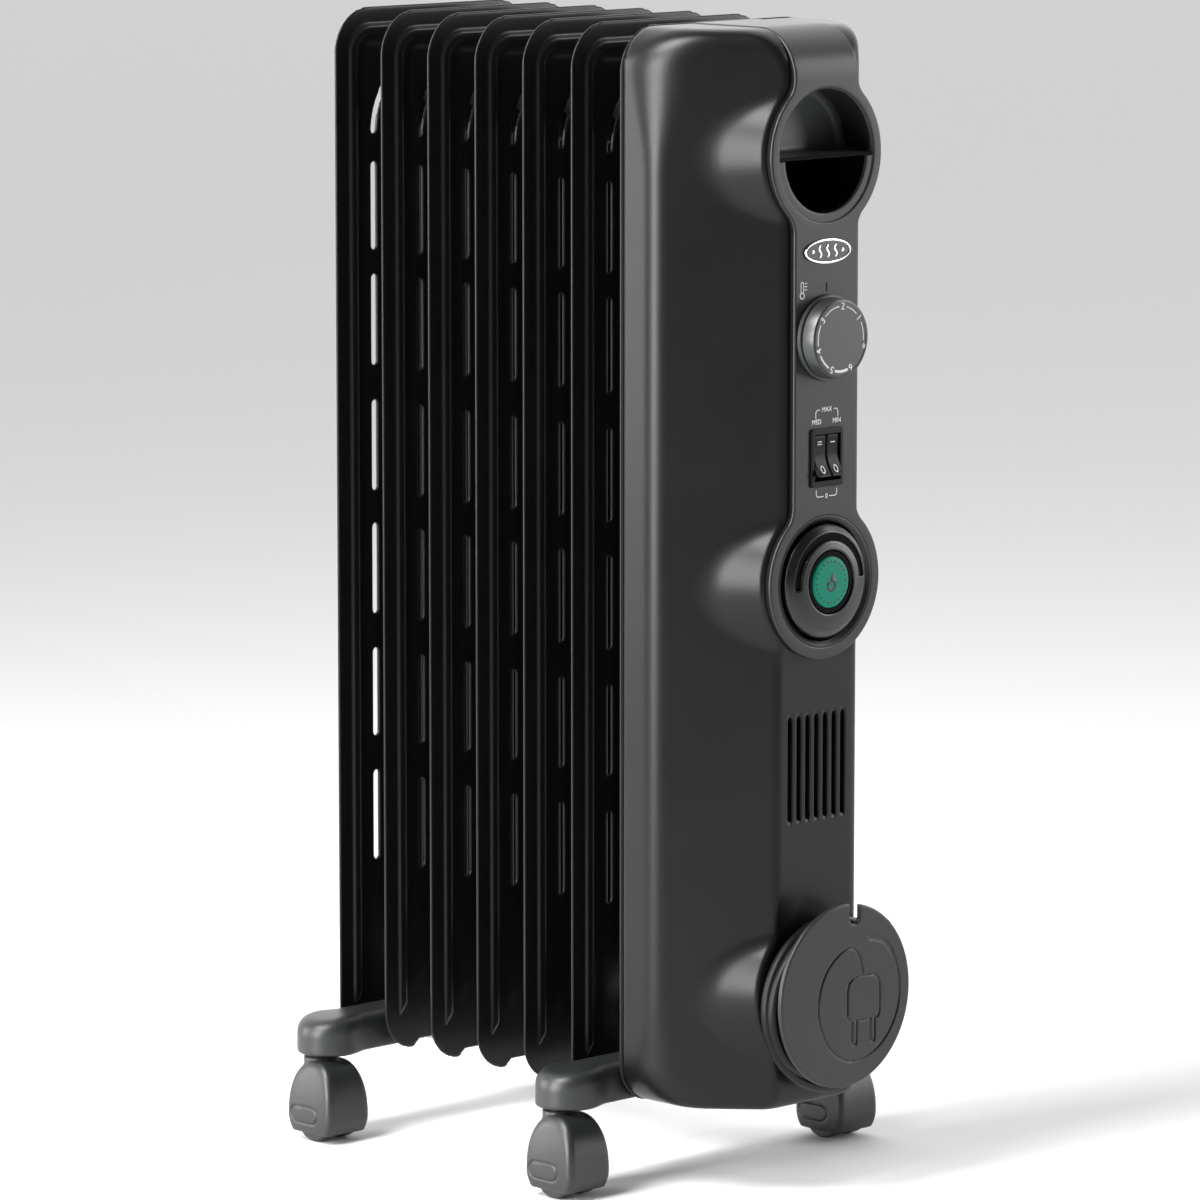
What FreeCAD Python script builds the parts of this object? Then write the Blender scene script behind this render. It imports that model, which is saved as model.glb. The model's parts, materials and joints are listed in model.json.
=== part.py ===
import FreeCAD, Part
import math
import os
from FreeCAD import Vector

# Oil filled radiator heater. Millimetres, +Z up, the control side faces -Y, +X is to the right
# of somebody facing the controls. The origin is on the floor, in the middle of the outline.

# ---------------------------------------------------------------- driving dimensions
OVERALL_LENGTH = 336.5           # from the winder's disc to the rear header caps, along Y
FRONT_Y = -OVERALL_LENGTH / 2    # front face of the winder's disc
REAR_Y = OVERALL_LENGTH / 2      # rear face of the header end caps

FIN_COUNT = 7
FIN_PITCH = 38.2
FIN_WIDTH = 152.0
FIN_BOTTOM = 47.5
FIN_TOP = 641.5
FIN_SHEET = 1.3                  # two pressed sheets, seam welded
FIN_TOP_RADIUS = 26.0
FIN_FOOT_RADIUS = 22.0
FIN_FOOT_WIDTH = 22.0            # width of the rounded foot each side of the bottom recess
FIN_RECESS = 4.0
BEAD_NEAR, BEAD_FAR = 9.5, 16.5  # the stiffening bead, measured in from the edge
BEAD_HEIGHT = 1.3
BEAD_END_Z = 72.0
SLOT_X = 47.5
SLOT_WIDTH = 4.5
SLOT_SPANS = ((151.5, 203.5), (223.5, 274.5), (294.5, 346.5),
              (365.5, 417.5), (437.5, 489.5), (503.5, 553.5))
TOP_SLOT_START_Z = 569.5
TOP_SLOT_RADIUS = 45.0
TOP_SLOT_SWEEP = 42.0
CHANNEL_X = (-22.0, 0.0, 22.0)
CHANNEL_HALF = 8.0
CHANNEL_RISE = 6.0               # outside of the oil channels, from the fin's middle plane
CHANNEL_WALL = 0.8
HEADER_LOW_Z = 92.0
HEADER_HIGH_Z = 597.0
HEADER_BOSS_R = 30.0
HEADER_OUTER_R = 17.0
HEADER_BORE_R = 14.0
CAP_THICKNESS = 2.0

COVER_HALF = 76.0
COVER_BACK_Y = -71.0
COVER_WALL = 2.5
RIDGE_Y = -94.4
SLOPE_END_X = 27.3
COVER_FRONT_Y = -149.0
LOWER_FRONT_Y = -145.0
COVER_CORNER_R = 24.0
PANEL_FRONT_Y = -151.0
PANEL_HALF = 24.6
PANEL_TOP_R = 28.0
RING_R = 43.0                    # the panel's round ends, and the front of each flare
NECK_FILLET = 14.0
FLARE_SLOPE = 0.417              # growth of a flare's radius for each millimetre back

HANDLE_Z = 572.5
KNOB_Z = 473.5
SWITCH_Z = 408.2
COMFORT_Z = 340.0
WINDER_Z = 112.2
BADGE_Z = 520.5
VENT_Z = 237.5
SCREW_X = 66.0                   # screws that hold the cover to the heat shield
SCREW_Z = (100.0, 330.0, 560.0)
SCREW_R = 1.5
SCREW_HEAD_R = 3.2
POST_R = 4.5
SHIELD_FRONT_Y = -79.0
SHIELD_BACK_Y = -78.0
VENT_PITCH = 6.9
VENT_HALF_HEIGHT = 28.5
VENT_HALF_WIDTH = 1.65
VENTS_EACH_SIDE = 3

BADGE_HALF_WIDTH, BADGE_HALF_HEIGHT, BADGE_THICKNESS = 18.0, 6.8, 1.2

HANDLE_OUTER_R = 38.0
POCKET_R = 36.0
POCKET_DEPTH = 25.0
CAVITY_R = 31.5
CAVITY_DEPTH = 46.0
SHELF_THICKNESS = 2.0

KNOB_R = 21.5
KNOB_COLLAR_R = 23.5
KNOB_FRONT_Y = -162.0
SPINDLE_R = 3.0

ROCKER_TILT = 11.0
ROCKER_WIDTH = 9.8
ROCKER_PIVOT_Y = -149.5

COMFORT_PLATE_R = 32.0
COMFORT_DOME = ((31.0, -151.8), (27.2, -154.2), (22.2, -155.3), (18.0, -155.6))
COMFORT_BACK_Y = -147.4
BUTTON_R = 17.2
BUTTON_FRONT_Y = -155.2
BUTTON_BACK_Y = -144.7
LENS_R = 14.2
LENS_PROUD = 0.8
LENS_SEAT = 2.0                  # depth of the lens's seat in the button
BUTTON_GAP = 0.35
KEY_FRONT_Y = -141.8             # top of the key that the button presses
ARC_SLOT = (22.6, 26.8)          # inner and outer radius of the slot in the comfort plate
ARC_SLOT_DEPTH = 1.2

DISC_R = 51.0
DISC_THICKNESS = 3.0
DRUM_R = 22.0
BOSS_FRONT_Y = -147.0
CORD_R = 3.25
COIL_HALF_WIDTH = 46.0
COIL_HALF_HEIGHT = 50.5
COIL_SAG = 6.0                   # the loose turns hang this much below the drum's middle
COIL_BACK_Y = -148.8
COIL_FRONT_Y = -164.9

STEM_X = 106.9
STEM_Y = {"f": -52.45, "r": 143.75}
STEM_R = 4.0
ARM_LOW, ARM_HIGH = 48.5, 70.5
ARM_END_R = 18.0
ARM_END_X = 100.0
ARM_HALF = 13.5                  # half width where the bar passes between two fins
U_BOLT_X = 20.4
U_BOLT_R = 3.0
HOOD_HALF = 16.75
HOOD_REAR, HOOD_FRONT = 11.3, -25.3
HOOD_LOW, HOOD_TOP = 5.0, 46.0
HOOD_WALL = 2.5
NECK_R = 9.1
WHEEL_R = 14.5
WHEEL_TRAIL = 7.0
AXLE_R = 2.5
RUNNING_CLEARANCE = 0.06

CORNERS = {"fl": (-1, "f"), "fr": (1, "f"), "rl": (-1, "r"), "rr": (1, "r")}

# The tail of the cord leaves the last turn, arches over and drops behind the disc to the plug.
CORD_TAIL = [(27.0, -157.0, 139.5), (39.0, -154.5, 143.5), (51.0, -149.0, 144.0),
             (58.5, -144.5, 137.0), (60.0, -143.0, 125.0)]
PLUG_TILT = 47.0                 # turns the plug's flat side along the cover's slope

# Inside the cover: the terminal block takes three wires, which go to the switches, the thermal
# cutout and the heating element.
WIRE_R = 1.3
TERMINAL_FRONT_Y = -96.0
TERMINAL_Z = 209.0
TERMINAL_PITCH = 13.0
CUTOUT_X, CUTOUT_Z = 32.0, 300.0
WIRE_TO_SWITCH = [(-13, -96, 209), (-13, -104, 209), (-22, -110, 225), (-24, -110, 280),
                  (-16, -108, 340), (-8, -107, 380), (-6, -107, 399), (-6, -112, 399)]
WIRE_TO_CUTOUT = [(13, -96, 209), (13, -104, 209), (26, -110, 226), (28, -106, 268),
                  (32, -100, 292), (32, -93.8, 300)]
WIRE_TO_ELEMENT = [(0, -96, 209), (0, -106, 209), (2, -108, 180), (3, -104, 140), (6, -98, 110),
                   (6, -94.6, 97.5)]


# ---------------------------------------------------------------- small helpers
def save(name, shape):
    """Write one node, after checking that every solid in it is valid."""
    for solid in shape.Solids:
        if not solid.isValid() or solid.Volume <= 0:
            raise ValueError(name + " holds a bad solid")
    whole = shape if len(shape.Solids) > 1 else shape.Solids[0]
    whole.exportStep("parts/" + name + ".step")
    b = whole.BoundBox
    print("%-20s solids %2d  volume %9.0f  x %7.1f %7.1f  y %7.1f %7.1f  z %6.1f %6.1f" % (
        name, len(shape.Solids), whole.Volume, b.XMin, b.XMax, b.YMin, b.YMax, b.ZMin, b.ZMax))


def group(shapes):
    return Part.makeCompound([s for shape in shapes for s in shape.Solids])


def box(x0, x1, y0, y1, z0, z1):
    return Part.makeBox(x1 - x0, y1 - y0, z1 - z0, Vector(x0, y0, z0))


def rod_x(y, z, r, x0, x1):
    return Part.makeCylinder(r, x1 - x0, Vector(x0, y, z), Vector(1, 0, 0))


def rod_y(x, z, r, y0, y1):
    return Part.makeCylinder(r, y1 - y0, Vector(x, y0, z), Vector(0, 1, 0))


def rod_z(x, y, r, z0, z1):
    return Part.makeCylinder(r, z1 - z0, Vector(x, y, z0), Vector(0, 0, 1))


def on_xz(x, z):
    return Vector(x, 0, z)


def on_yz(y, z):
    return Vector(0, y, z)


def on_xy(x, y):
    return Vector(x, y, 0)


def rounded_polygon(corners, place):
    """A closed wire through corners (a, b, radius), each rounded by its own radius."""
    edges = []
    count = len(corners)
    starts, ends, mids = [], [], []
    for i in range(count):
        a, b, r = corners[i]
        pa, pb, _ = corners[i - 1]
        na, nb, _ = corners[(i + 1) % count]
        corner = Vector(a, b, 0)
        back = (Vector(pa, pb, 0) - corner).normalize()
        ahead = (Vector(na, nb, 0) - corner).normalize()
        if r <= 0:
            starts.append(corner)
            ends.append(corner)
            mids.append(None)
            continue
        half = back.getAngle(ahead) / 2
        reach = r / math.tan(half)
        bisector = (back + ahead).normalize()
        centre = corner + bisector * (r / math.sin(half))
        starts.append(corner + back * reach)
        ends.append(corner + ahead * reach)
        mids.append(centre - bisector * r)
    for i in range(count):
        if mids[i] is not None:
            edges.append(Part.Arc(place(starts[i].x, starts[i].y), place(mids[i].x, mids[i].y),
                                  place(ends[i].x, ends[i].y)).toShape())
        after = starts[(i + 1) % count]
        if (after - ends[i]).Length > 1e-6:
            edges.append(Part.LineSegment(place(ends[i].x, ends[i].y),
                                          place(after.x, after.y)).toShape())
    return Part.Wire(edges)


def plate_xz(corners, y0, y1):
    face = Part.Face(rounded_polygon(corners, on_xz))
    face.translate(Vector(0, y0, 0))
    return face.extrude(Vector(0, y1 - y0, 0))


def plate_yz(corners, x0, x1):
    face = Part.Face(rounded_polygon(corners, on_yz))
    face.translate(Vector(x0, 0, 0))
    return face.extrude(Vector(x1 - x0, 0, 0))


def plate_xy(corners, z0, z1):
    face = Part.Face(rounded_polygon(corners, on_xy))
    face.translate(Vector(0, 0, z0))
    return face.extrude(Vector(0, 0, z1 - z0))


def stadium_xz(x, z0, z1, half, y0, y1):
    return plate_xz([(x - half, z0, half * 0.999), (x + half, z0, half * 0.999),
                     (x + half, z1, half * 0.999), (x - half, z1, half * 0.999)], y0, y1)


def soften(shape, radius, keep):
    """Fillet the edges that keep() picks, and leave the shape alone if that is impossible."""
    edges = [e for e in shape.Edges if keep(e)]
    if not edges:
        return shape
    try:
        rounded = shape.makeFillet(radius, edges)
    except Exception:
        return shape
    return rounded if rounded.isValid() and rounded.Volume > 0 else shape


def flat_at_y(edge, y):
    box_ = edge.BoundBox
    return abs(box_.YMin - y) < 1e-4 and abs(box_.YMax - y) < 1e-4


def flat_at_z(edge, z):
    box_ = edge.BoundBox
    return abs(box_.ZMin - z) < 1e-4 and abs(box_.ZMax - z) < 1e-4


def bent_path(points):
    """Straight runs joined by tangent arcs, each arc as large as its two runs allow."""
    edges = []
    at = points[0]
    radii = []
    for i in range(1, len(points) - 1):
        back = points[i - 1] - points[i]
        ahead = points[i + 1] - points[i]
        reach = 0.45 * min(back.Length, ahead.Length)
        turn = math.pi - back.getAngle(ahead)
        radius = reach / math.tan(turn / 2)
        radii.append(radius)
        back.normalize()
        ahead.normalize()
        start = points[i] + back * reach
        end = points[i] + ahead * reach
        bisector = (back + ahead).normalize()
        middle = points[i] + bisector * (radius / math.cos(turn / 2) - radius)
        edges.append(Part.LineSegment(at, start).toShape())
        edges.append(Part.Arc(start, middle, end).toShape())
        at = end
    edges.append(Part.LineSegment(at, points[-1]).toShape())
    return Part.Wire(edges), radii


def tube(points, r, label=None):
    """A round cord or wire along a bent path."""
    path, radii = bent_path(points)
    ahead = points[1] - points[0]
    ring = Part.Wire([Part.Circle(points[0], ahead, r).toShape()])
    solid = path.makePipeShell([ring], True, False, 2)
    if label:
        swept = math.pi * r * r * path.Length
        print(label, "arc radii", [round(v, 1) for v in radii],
              "length", round(path.Length, 1), "volume ratio", round(solid.Volume / swept, 4))
    return solid


# ---------------------------------------------------------------- radiator body
def fin_y(index):
    """Middle plane of a fin; fin 1 is at the back."""
    return REAR_Y - CAP_THICKNESS - CHANNEL_RISE - FIN_PITCH * (index - 1)


def fin_outline(inset, low, foot_radius):
    half = FIN_WIDTH / 2 - inset
    top_radius = FIN_TOP_RADIUS - inset
    return [(-half, low, foot_radius), (half, low, foot_radius),
            (half, FIN_TOP - inset, top_radius), (-half, FIN_TOP - inset, top_radius)]


def channel_shape(grow, rise):
    """The oil channels of a fin: three uprights and the bosses of the two headers."""
    pieces = [stadium_xz(x, HEADER_LOW_Z, HEADER_HIGH_Z, CHANNEL_HALF + grow, -rise, rise)
              for x in CHANNEL_X]
    for z in (HEADER_LOW_Z, HEADER_HIGH_Z):
        pieces.append(rod_y(0, z, HEADER_BOSS_R + grow, -rise, rise))
    return pieces[0].multiFuse(pieces[1:]).removeSplitter()


def air_slots():
    cutters = []
    for side in (-1, 1):
        for low, high in SLOT_SPANS:
            cutters.append(stadium_xz(side * SLOT_X, low, high, SLOT_WIDTH / 2, -5, 5))
        centre_x = SLOT_X - TOP_SLOT_RADIUS
        arc = []
        for radius in (TOP_SLOT_RADIUS - SLOT_WIDTH / 2, TOP_SLOT_RADIUS + SLOT_WIDTH / 2):
            for angle in (0.0, TOP_SLOT_SWEEP / 2, TOP_SLOT_SWEEP):
                turn = math.radians(angle)
                arc.append(Vector(side * (centre_x + radius * math.cos(turn)), -5,
                                  TOP_SLOT_START_Z + radius * math.sin(turn)))
        inner, outer = arc[:3], arc[3:]
        wire = Part.Wire([Part.Arc(inner[0], inner[1], inner[2]).toShape(),
                          Part.LineSegment(inner[2], outer[2]).toShape(),
                          Part.Arc(outer[2], outer[1], outer[0]).toShape(),
                          Part.LineSegment(outer[0], inner[0]).toShape()])
        cutters.append(Part.Face(wire).extrude(Vector(0, 10, 0)))
    return cutters


def make_fin():
    half_sheet = FIN_SHEET / 2
    plate = plate_xz(fin_outline(0, FIN_BOTTOM, FIN_FOOT_RADIUS), -half_sheet, half_sheet)
    inner_foot = FIN_WIDTH / 2 - FIN_FOOT_WIDTH
    recess = plate_xz([(-inner_foot - 1, FIN_BOTTOM - 1, 0), (inner_foot + 1, FIN_BOTTOM - 1, 0),
                       (inner_foot - FIN_RECESS, FIN_BOTTOM + FIN_RECESS, 0),
                       (-inner_foot + FIN_RECESS, FIN_BOTTOM + FIN_RECESS, 0)], -5, 5)
    plate = plate.cut(recess)
    lift = half_sheet + BEAD_HEIGHT
    band = plate_xz(fin_outline(BEAD_NEAR, BEAD_END_Z - 8, 0), -lift, lift)
    hollow = plate_xz(fin_outline(BEAD_FAR, BEAD_END_Z - 20, 0), -lift - 1, lift + 1)
    band = band.cut(hollow)
    outer_x = FIN_WIDTH / 2 - BEAD_NEAR
    inner_x = FIN_WIDTH / 2 - BEAD_FAR
    for side in (-1, 1):
        point = [(side * (outer_x + 1), BEAD_END_Z - 9, 0), (side * (outer_x + 1), BEAD_END_Z - 1, 0),
                 (side * (outer_x - 2), BEAD_END_Z - 4, 0), (side * (inner_x - 1), BEAD_END_Z + 3, 0),
                 (side * (inner_x - 1), BEAD_END_Z - 9, 0)]
        band = band.cut(plate_xz(point, -lift - 1, lift + 1))
    for level in (-lift, lift):
        band = soften(band, BEAD_HEIGHT * 0.8, lambda e, y=level: flat_at_y(e, y))
    channels = channel_shape(0, CHANNEL_RISE)
    for level in (-CHANNEL_RISE, CHANNEL_RISE):
        channels = soften(channels, 3.0, lambda e, y=level: flat_at_y(e, y))
    fin = plate.fuse(band).fuse(channels).removeSplitter()
    fin = fin.cut(channel_shape(-2.2, CHANNEL_RISE - CHANNEL_WALL))
    for z in (HEADER_LOW_Z, HEADER_HIGH_Z):
        fin = fin.cut(rod_y(0, z, HEADER_BORE_R, -10, 10))
    for cutter in air_slots():
        fin = fin.cut(cutter)
    return fin


def radiator_body():
    fin = make_fin()
    for index in range(1, FIN_COUNT + 1):
        placed = fin.copy()
        placed.translate(Vector(0, fin_y(index), 0))
        save("fin_%d" % index, placed)
    rings = []
    for index in range(1, FIN_COUNT):
        high_y = fin_y(index) - CHANNEL_RISE
        low_y = fin_y(index + 1) + CHANNEL_RISE
        for z in (HEADER_LOW_Z, HEADER_HIGH_Z):
            ring = rod_y(0, z, HEADER_OUTER_R, low_y, high_y)
            rings.append(ring.cut(rod_y(0, z, HEADER_BORE_R, low_y - 1, high_y + 1)))
    save("header_rings", group(rings))
    front_face = fin_y(FIN_COUNT) - CHANNEL_RISE
    caps = []
    for z in (HEADER_LOW_Z, HEADER_HIGH_Z):
        cap = rod_y(0, z, HEADER_OUTER_R, REAR_Y - CAP_THICKNESS, REAR_Y)
        caps.append(soften(cap, 1.2, lambda e: flat_at_y(e, REAR_Y)))
    caps.append(rod_y(0, HEADER_HIGH_Z, HEADER_OUTER_R, front_face - CAP_THICKNESS, front_face))
    save("header_caps", group(caps))


def heating_element():
    """A flange with two long U tubes that lie in the lower header."""
    face = fin_y(FIN_COUNT) - CHANNEL_RISE
    gasket = rod_y(0, HEADER_LOW_Z, HEADER_OUTER_R + 1, face - 1.0, face)
    gasket = gasket.cut(rod_y(0, HEADER_LOW_Z, HEADER_BORE_R - 1, face - 2, face + 1))
    save("element_gasket", gasket)
    flange_front = face - 4.0
    flange = rod_y(0, HEADER_LOW_Z, HEADER_OUTER_R + 1, flange_front, face - 1.0)
    body = flange
    far = fin_y(1) - 12.0
    for z_off, spread in ((-5.5, 6.0), (5.5, 6.0)):
        z = HEADER_LOW_Z + z_off
        for side in (-1, 1):
            body = body.fuse(rod_y(side * spread, z, 3.2, flange_front - 8, far))
            pin = rod_y(side * spread, z, 1.2, flange_front - 14, flange_front - 7)
            body = body.fuse(pin)
        body = body.fuse(rod_x(far, z, 3.2, -spread, spread))
    save("heating_element", body.removeSplitter())
    hexagon = []
    for corner in range(6):
        angle = math.radians(60 * corner)
        hexagon.append((5 * math.cos(angle), HEADER_HIGH_Z - 22 + 5 * math.sin(angle), 0))
    save("filler_plug", plate_xz(hexagon, face - 2.8, face))


# ---------------------------------------------------------------- control cover
def offset_slope(wall):
    """Ends of the sloping face, moved inwards by wall, in the XY plane."""
    x0, y0, x1, y1 = COVER_HALF, RIDGE_Y, SLOPE_END_X, COVER_FRONT_Y
    dx, dy = x1 - x0, y1 - y0
    length = math.hypot(dx, dy)
    nx, ny = -dy / length, dx / length
    level = nx * x0 + ny * y0 - wall
    side_x = COVER_HALF - wall
    front_y = COVER_FRONT_Y + wall
    return side_x, (level - nx * side_x) / ny, (level - ny * front_y) / nx, front_y


def cover_block(wall, back_y):
    """The cover's outer form, or its inside when wall is not zero."""
    side_x, ridge_y, slope_x, front_y = offset_slope(wall)
    section = [(-side_x, back_y, 0), (-side_x, ridge_y, 4), (-slope_x, front_y, 4),
               (slope_x, front_y, 4), (side_x, ridge_y, 4), (side_x, back_y, 0)]
    low, high = FIN_BOTTOM + wall, FIN_TOP - wall
    block = plate_xy(section, low, high)
    corner = COVER_CORNER_R - wall
    face_on = [(-side_x, low, corner), (side_x, low, corner),
               (side_x, high, corner), (-side_x, high, corner)]
    block = block.common(plate_xz(face_on, -170, 0))
    side_on = [(back_y, low, 0), (back_y, high, 0), (front_y, high, PANEL_TOP_R - 2 - wall),
               (front_y, low, 10 - wall)]
    block = block.common(plate_yz(side_on, -90, 90))
    for z, front in ((HANDLE_Z, front_y), (COMFORT_Z, front_y), (WINDER_Z, BOSS_FRONT_Y + wall)):
        deep = 45.0
        near_r = RING_R - wall
        flare = Part.makeCone(near_r, near_r + deep * FLARE_SLOPE, deep,
                              Vector(0, front, z), Vector(0, 1, 0))
        block = block.fuse(flare)
    return block.removeSplitter()


def switch_cutter(grow, y0, y1):
    return box(-11.0 - grow, 11.0 + grow, y0, y1, SWITCH_Z - 14.7 - grow, SWITCH_Z + 14.7 + grow)


def make_cover():
    shell = cover_block(0, COVER_BACK_Y)
    top_channel = plate_yz([(COVER_BACK_Y + 1, FIN_TOP + 5, 0), (COVER_BACK_Y + 1, FIN_TOP - 2, 0),
                            (COVER_FRONT_Y, FIN_TOP - 2, PANEL_TOP_R - 2),
                            (COVER_FRONT_Y, FIN_TOP - 40, 0), (COVER_FRONT_Y - 9, FIN_TOP - 40, 0),
                            (COVER_FRONT_Y - 9, FIN_TOP + 5, 0)],
                           -PANEL_HALF - 0.2, PANEL_HALF + 0.2)
    shell = shell.cut(top_channel)
    inside = cover_block(COVER_WALL, COVER_BACK_Y + 1)
    roof = box(-PANEL_HALF - 2.5, PANEL_HALF + 2.5, -170, COVER_BACK_Y + 2, FIN_TOP - 4.5, FIN_TOP)
    inside = inside.cut(roof)
    lower = box(-40, 40, -160, LOWER_FRONT_Y, FIN_BOTTOM - 1, COMFORT_Z - 20)
    for z in (COMFORT_Z, WINDER_Z):
        lower = lower.cut(rod_y(0, z, RING_R, -170, -130))
    shell = shell.cut(lower)
    shell = shell.cut(rod_y(0, WINDER_Z, RING_R + 10, -170, BOSS_FRONT_Y))
    inside = inside.cut(box(-40, 40, -160, LOWER_FRONT_Y + COVER_WALL, FIN_BOTTOM, COMFORT_Z - 20))
    shell = shell.cut(inside)
    shell = shell.cut(rod_y(0, HANDLE_Z, HANDLE_OUTER_R + 0.3, -170, -90))
    shell = shell.cut(rod_y(0, COMFORT_Z, COMFORT_PLATE_R + 0.4, -170, -130))
    shell = shell.cut(rod_y(0, KNOB_Z, 6.0, -170, -130))
    shell = shell.cut(switch_cutter(0.3, -170, -130))
    for index in range(-VENTS_EACH_SIDE, VENTS_EACH_SIDE + 1):
        shell = shell.cut(stadium_xz(VENT_PITCH * index, VENT_Z - VENT_HALF_HEIGHT,
                                     VENT_Z + VENT_HALF_HEIGHT, VENT_HALF_WIDTH, -160, -138))
    return shell


def make_gasket():
    outer = plate_xz([(-75.6, FIN_BOTTOM + 0.4, 23.6), (75.6, FIN_BOTTOM + 0.4, 23.6),
                      (75.6, FIN_TOP - 0.4, 23.6), (-75.6, FIN_TOP - 0.4, 23.6)],
                     COVER_BACK_Y, fin_y(FIN_COUNT) - FIN_SHEET / 2)
    inner = plate_xz([(-71.5, FIN_BOTTOM + 4.5, 19.5), (71.5, FIN_BOTTOM + 4.5, 19.5),
                      (71.5, FIN_TOP - 4.5, 19.5), (-71.5, FIN_TOP - 4.5, 19.5)], -80, -60)
    return outer.cut(inner)


def make_heat_shield():
    front, back = SHIELD_FRONT_Y, SHIELD_BACK_Y
    half = COVER_HALF - COVER_WALL - 0.3
    low, high = FIN_BOTTOM + COVER_WALL + 0.3, FIN_TOP - COVER_WALL - 2.4
    corner = COVER_CORNER_R - 1.0
    sheet = plate_xz([(-half, low, corner), (half, low, corner),
                      (half, high, corner), (-half, high, corner)], front, back)
    sheet = sheet.cut(rod_y(0, HEADER_LOW_Z, 21, -90, -70))
    for x, z in screw_places():
        sheet = sheet.cut(rod_y(x, z, SCREW_R + 0.05, -90, -70))
    touch_y = fin_y(FIN_COUNT) - FIN_SHEET / 2
    for x in (-38.0, 38.0):
        for z in (130.0, 560.0):
            sheet = sheet.fuse(rod_y(x, z, 5, back, touch_y))
    return sheet.removeSplitter()


def screw_places():
    return [(side * SCREW_X, z) for side in (-1, 1) for z in SCREW_Z]


def shield_screws():
    screws = []
    for x, z in screw_places():
        head = rod_y(x, z, SCREW_HEAD_R, SHIELD_BACK_Y, SHIELD_BACK_Y + 2.2)
        shank = rod_y(x, z, SCREW_R, SHIELD_BACK_Y - 8.0, SHIELD_BACK_Y)
        screws.append(head.fuse(shank).removeSplitter())
    return screws


def cover_posts(cover):
    """Screw posts inside the cover, ending on the heat shield."""
    inside = cover_block(0.5, COVER_BACK_Y)
    for x, z in screw_places():
        cover = cover.fuse(rod_y(x, z, POST_R, -106.0, SHIELD_FRONT_Y).common(inside))
        cover = cover.cut(rod_y(x, z, SCREW_R + 0.05, SHIELD_BACK_Y - 8.2, SHIELD_BACK_Y))
    return cover.removeSplitter()


def side_of_ring(z_centre, upper):
    """Where the strip's edge and a round end are joined by a hollow fillet."""
    rise = math.sqrt((RING_R + NECK_FILLET) ** 2 - (PANEL_HALF + NECK_FILLET) ** 2)
    sign = 1 if upper else -1
    centre = (PANEL_HALF + NECK_FILLET, z_centre + sign * rise)
    share = RING_R / (RING_R + NECK_FILLET)
    on_ring = (centre[0] * share, z_centre + sign * rise * share)
    mid_angle = math.atan2(on_ring[1] - centre[1], on_ring[0] - centre[0])
    end_angle = math.pi
    if sign > 0:
        mid = (mid_angle + (-end_angle if mid_angle < 0 else end_angle)) / 2
    else:
        mid = (mid_angle + end_angle) / 2
    middle = (centre[0] + NECK_FILLET * math.cos(mid), centre[1] + NECK_FILLET * math.sin(mid))
    return on_ring, middle, (PANEL_HALF, centre[1])


def panel_outline():
    """Right half of the panel's outline from the bottom up, as (kind, points)."""
    top_z = FIN_TOP - PANEL_TOP_R
    low_ring, low_mid, low_edge = side_of_ring(COMFORT_Z, True)
    hi_ring, hi_mid, hi_edge = side_of_ring(HANDLE_Z, False)
    bottom = (0.0, COMFORT_Z - RING_R)
    handle_side = (RING_R, HANDLE_Z)
    top_rise = math.sqrt(RING_R ** 2 - PANEL_HALF ** 2)
    join = (PANEL_HALF, HANDLE_Z + top_rise)
    join_mid_angle = math.atan2(top_rise, PANEL_HALF) / 2
    join_mid = (RING_R * math.cos(join_mid_angle), HANDLE_Z + RING_R * math.sin(join_mid_angle))
    hi_angle = math.atan2(hi_ring[1] - HANDLE_Z, hi_ring[0]) / 2
    hi_side_mid = (RING_R * math.cos(hi_angle), HANDLE_Z + RING_R * math.sin(hi_angle))
    low_angle = (math.atan2(low_ring[1] - COMFORT_Z, low_ring[0]) - math.pi / 2) / 2
    low_side_mid = (RING_R * math.cos(low_angle), COMFORT_Z + RING_R * math.sin(low_angle))
    return [("arc", bottom, low_side_mid, low_ring), ("arc", low_ring, low_mid, low_edge),
            ("line", low_edge, hi_edge), ("arc", hi_edge, hi_mid, hi_ring),
            ("arc", hi_ring, hi_side_mid, handle_side), ("arc", handle_side, join_mid, join),
            ("line", join, (PANEL_HALF, top_z))]


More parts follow.
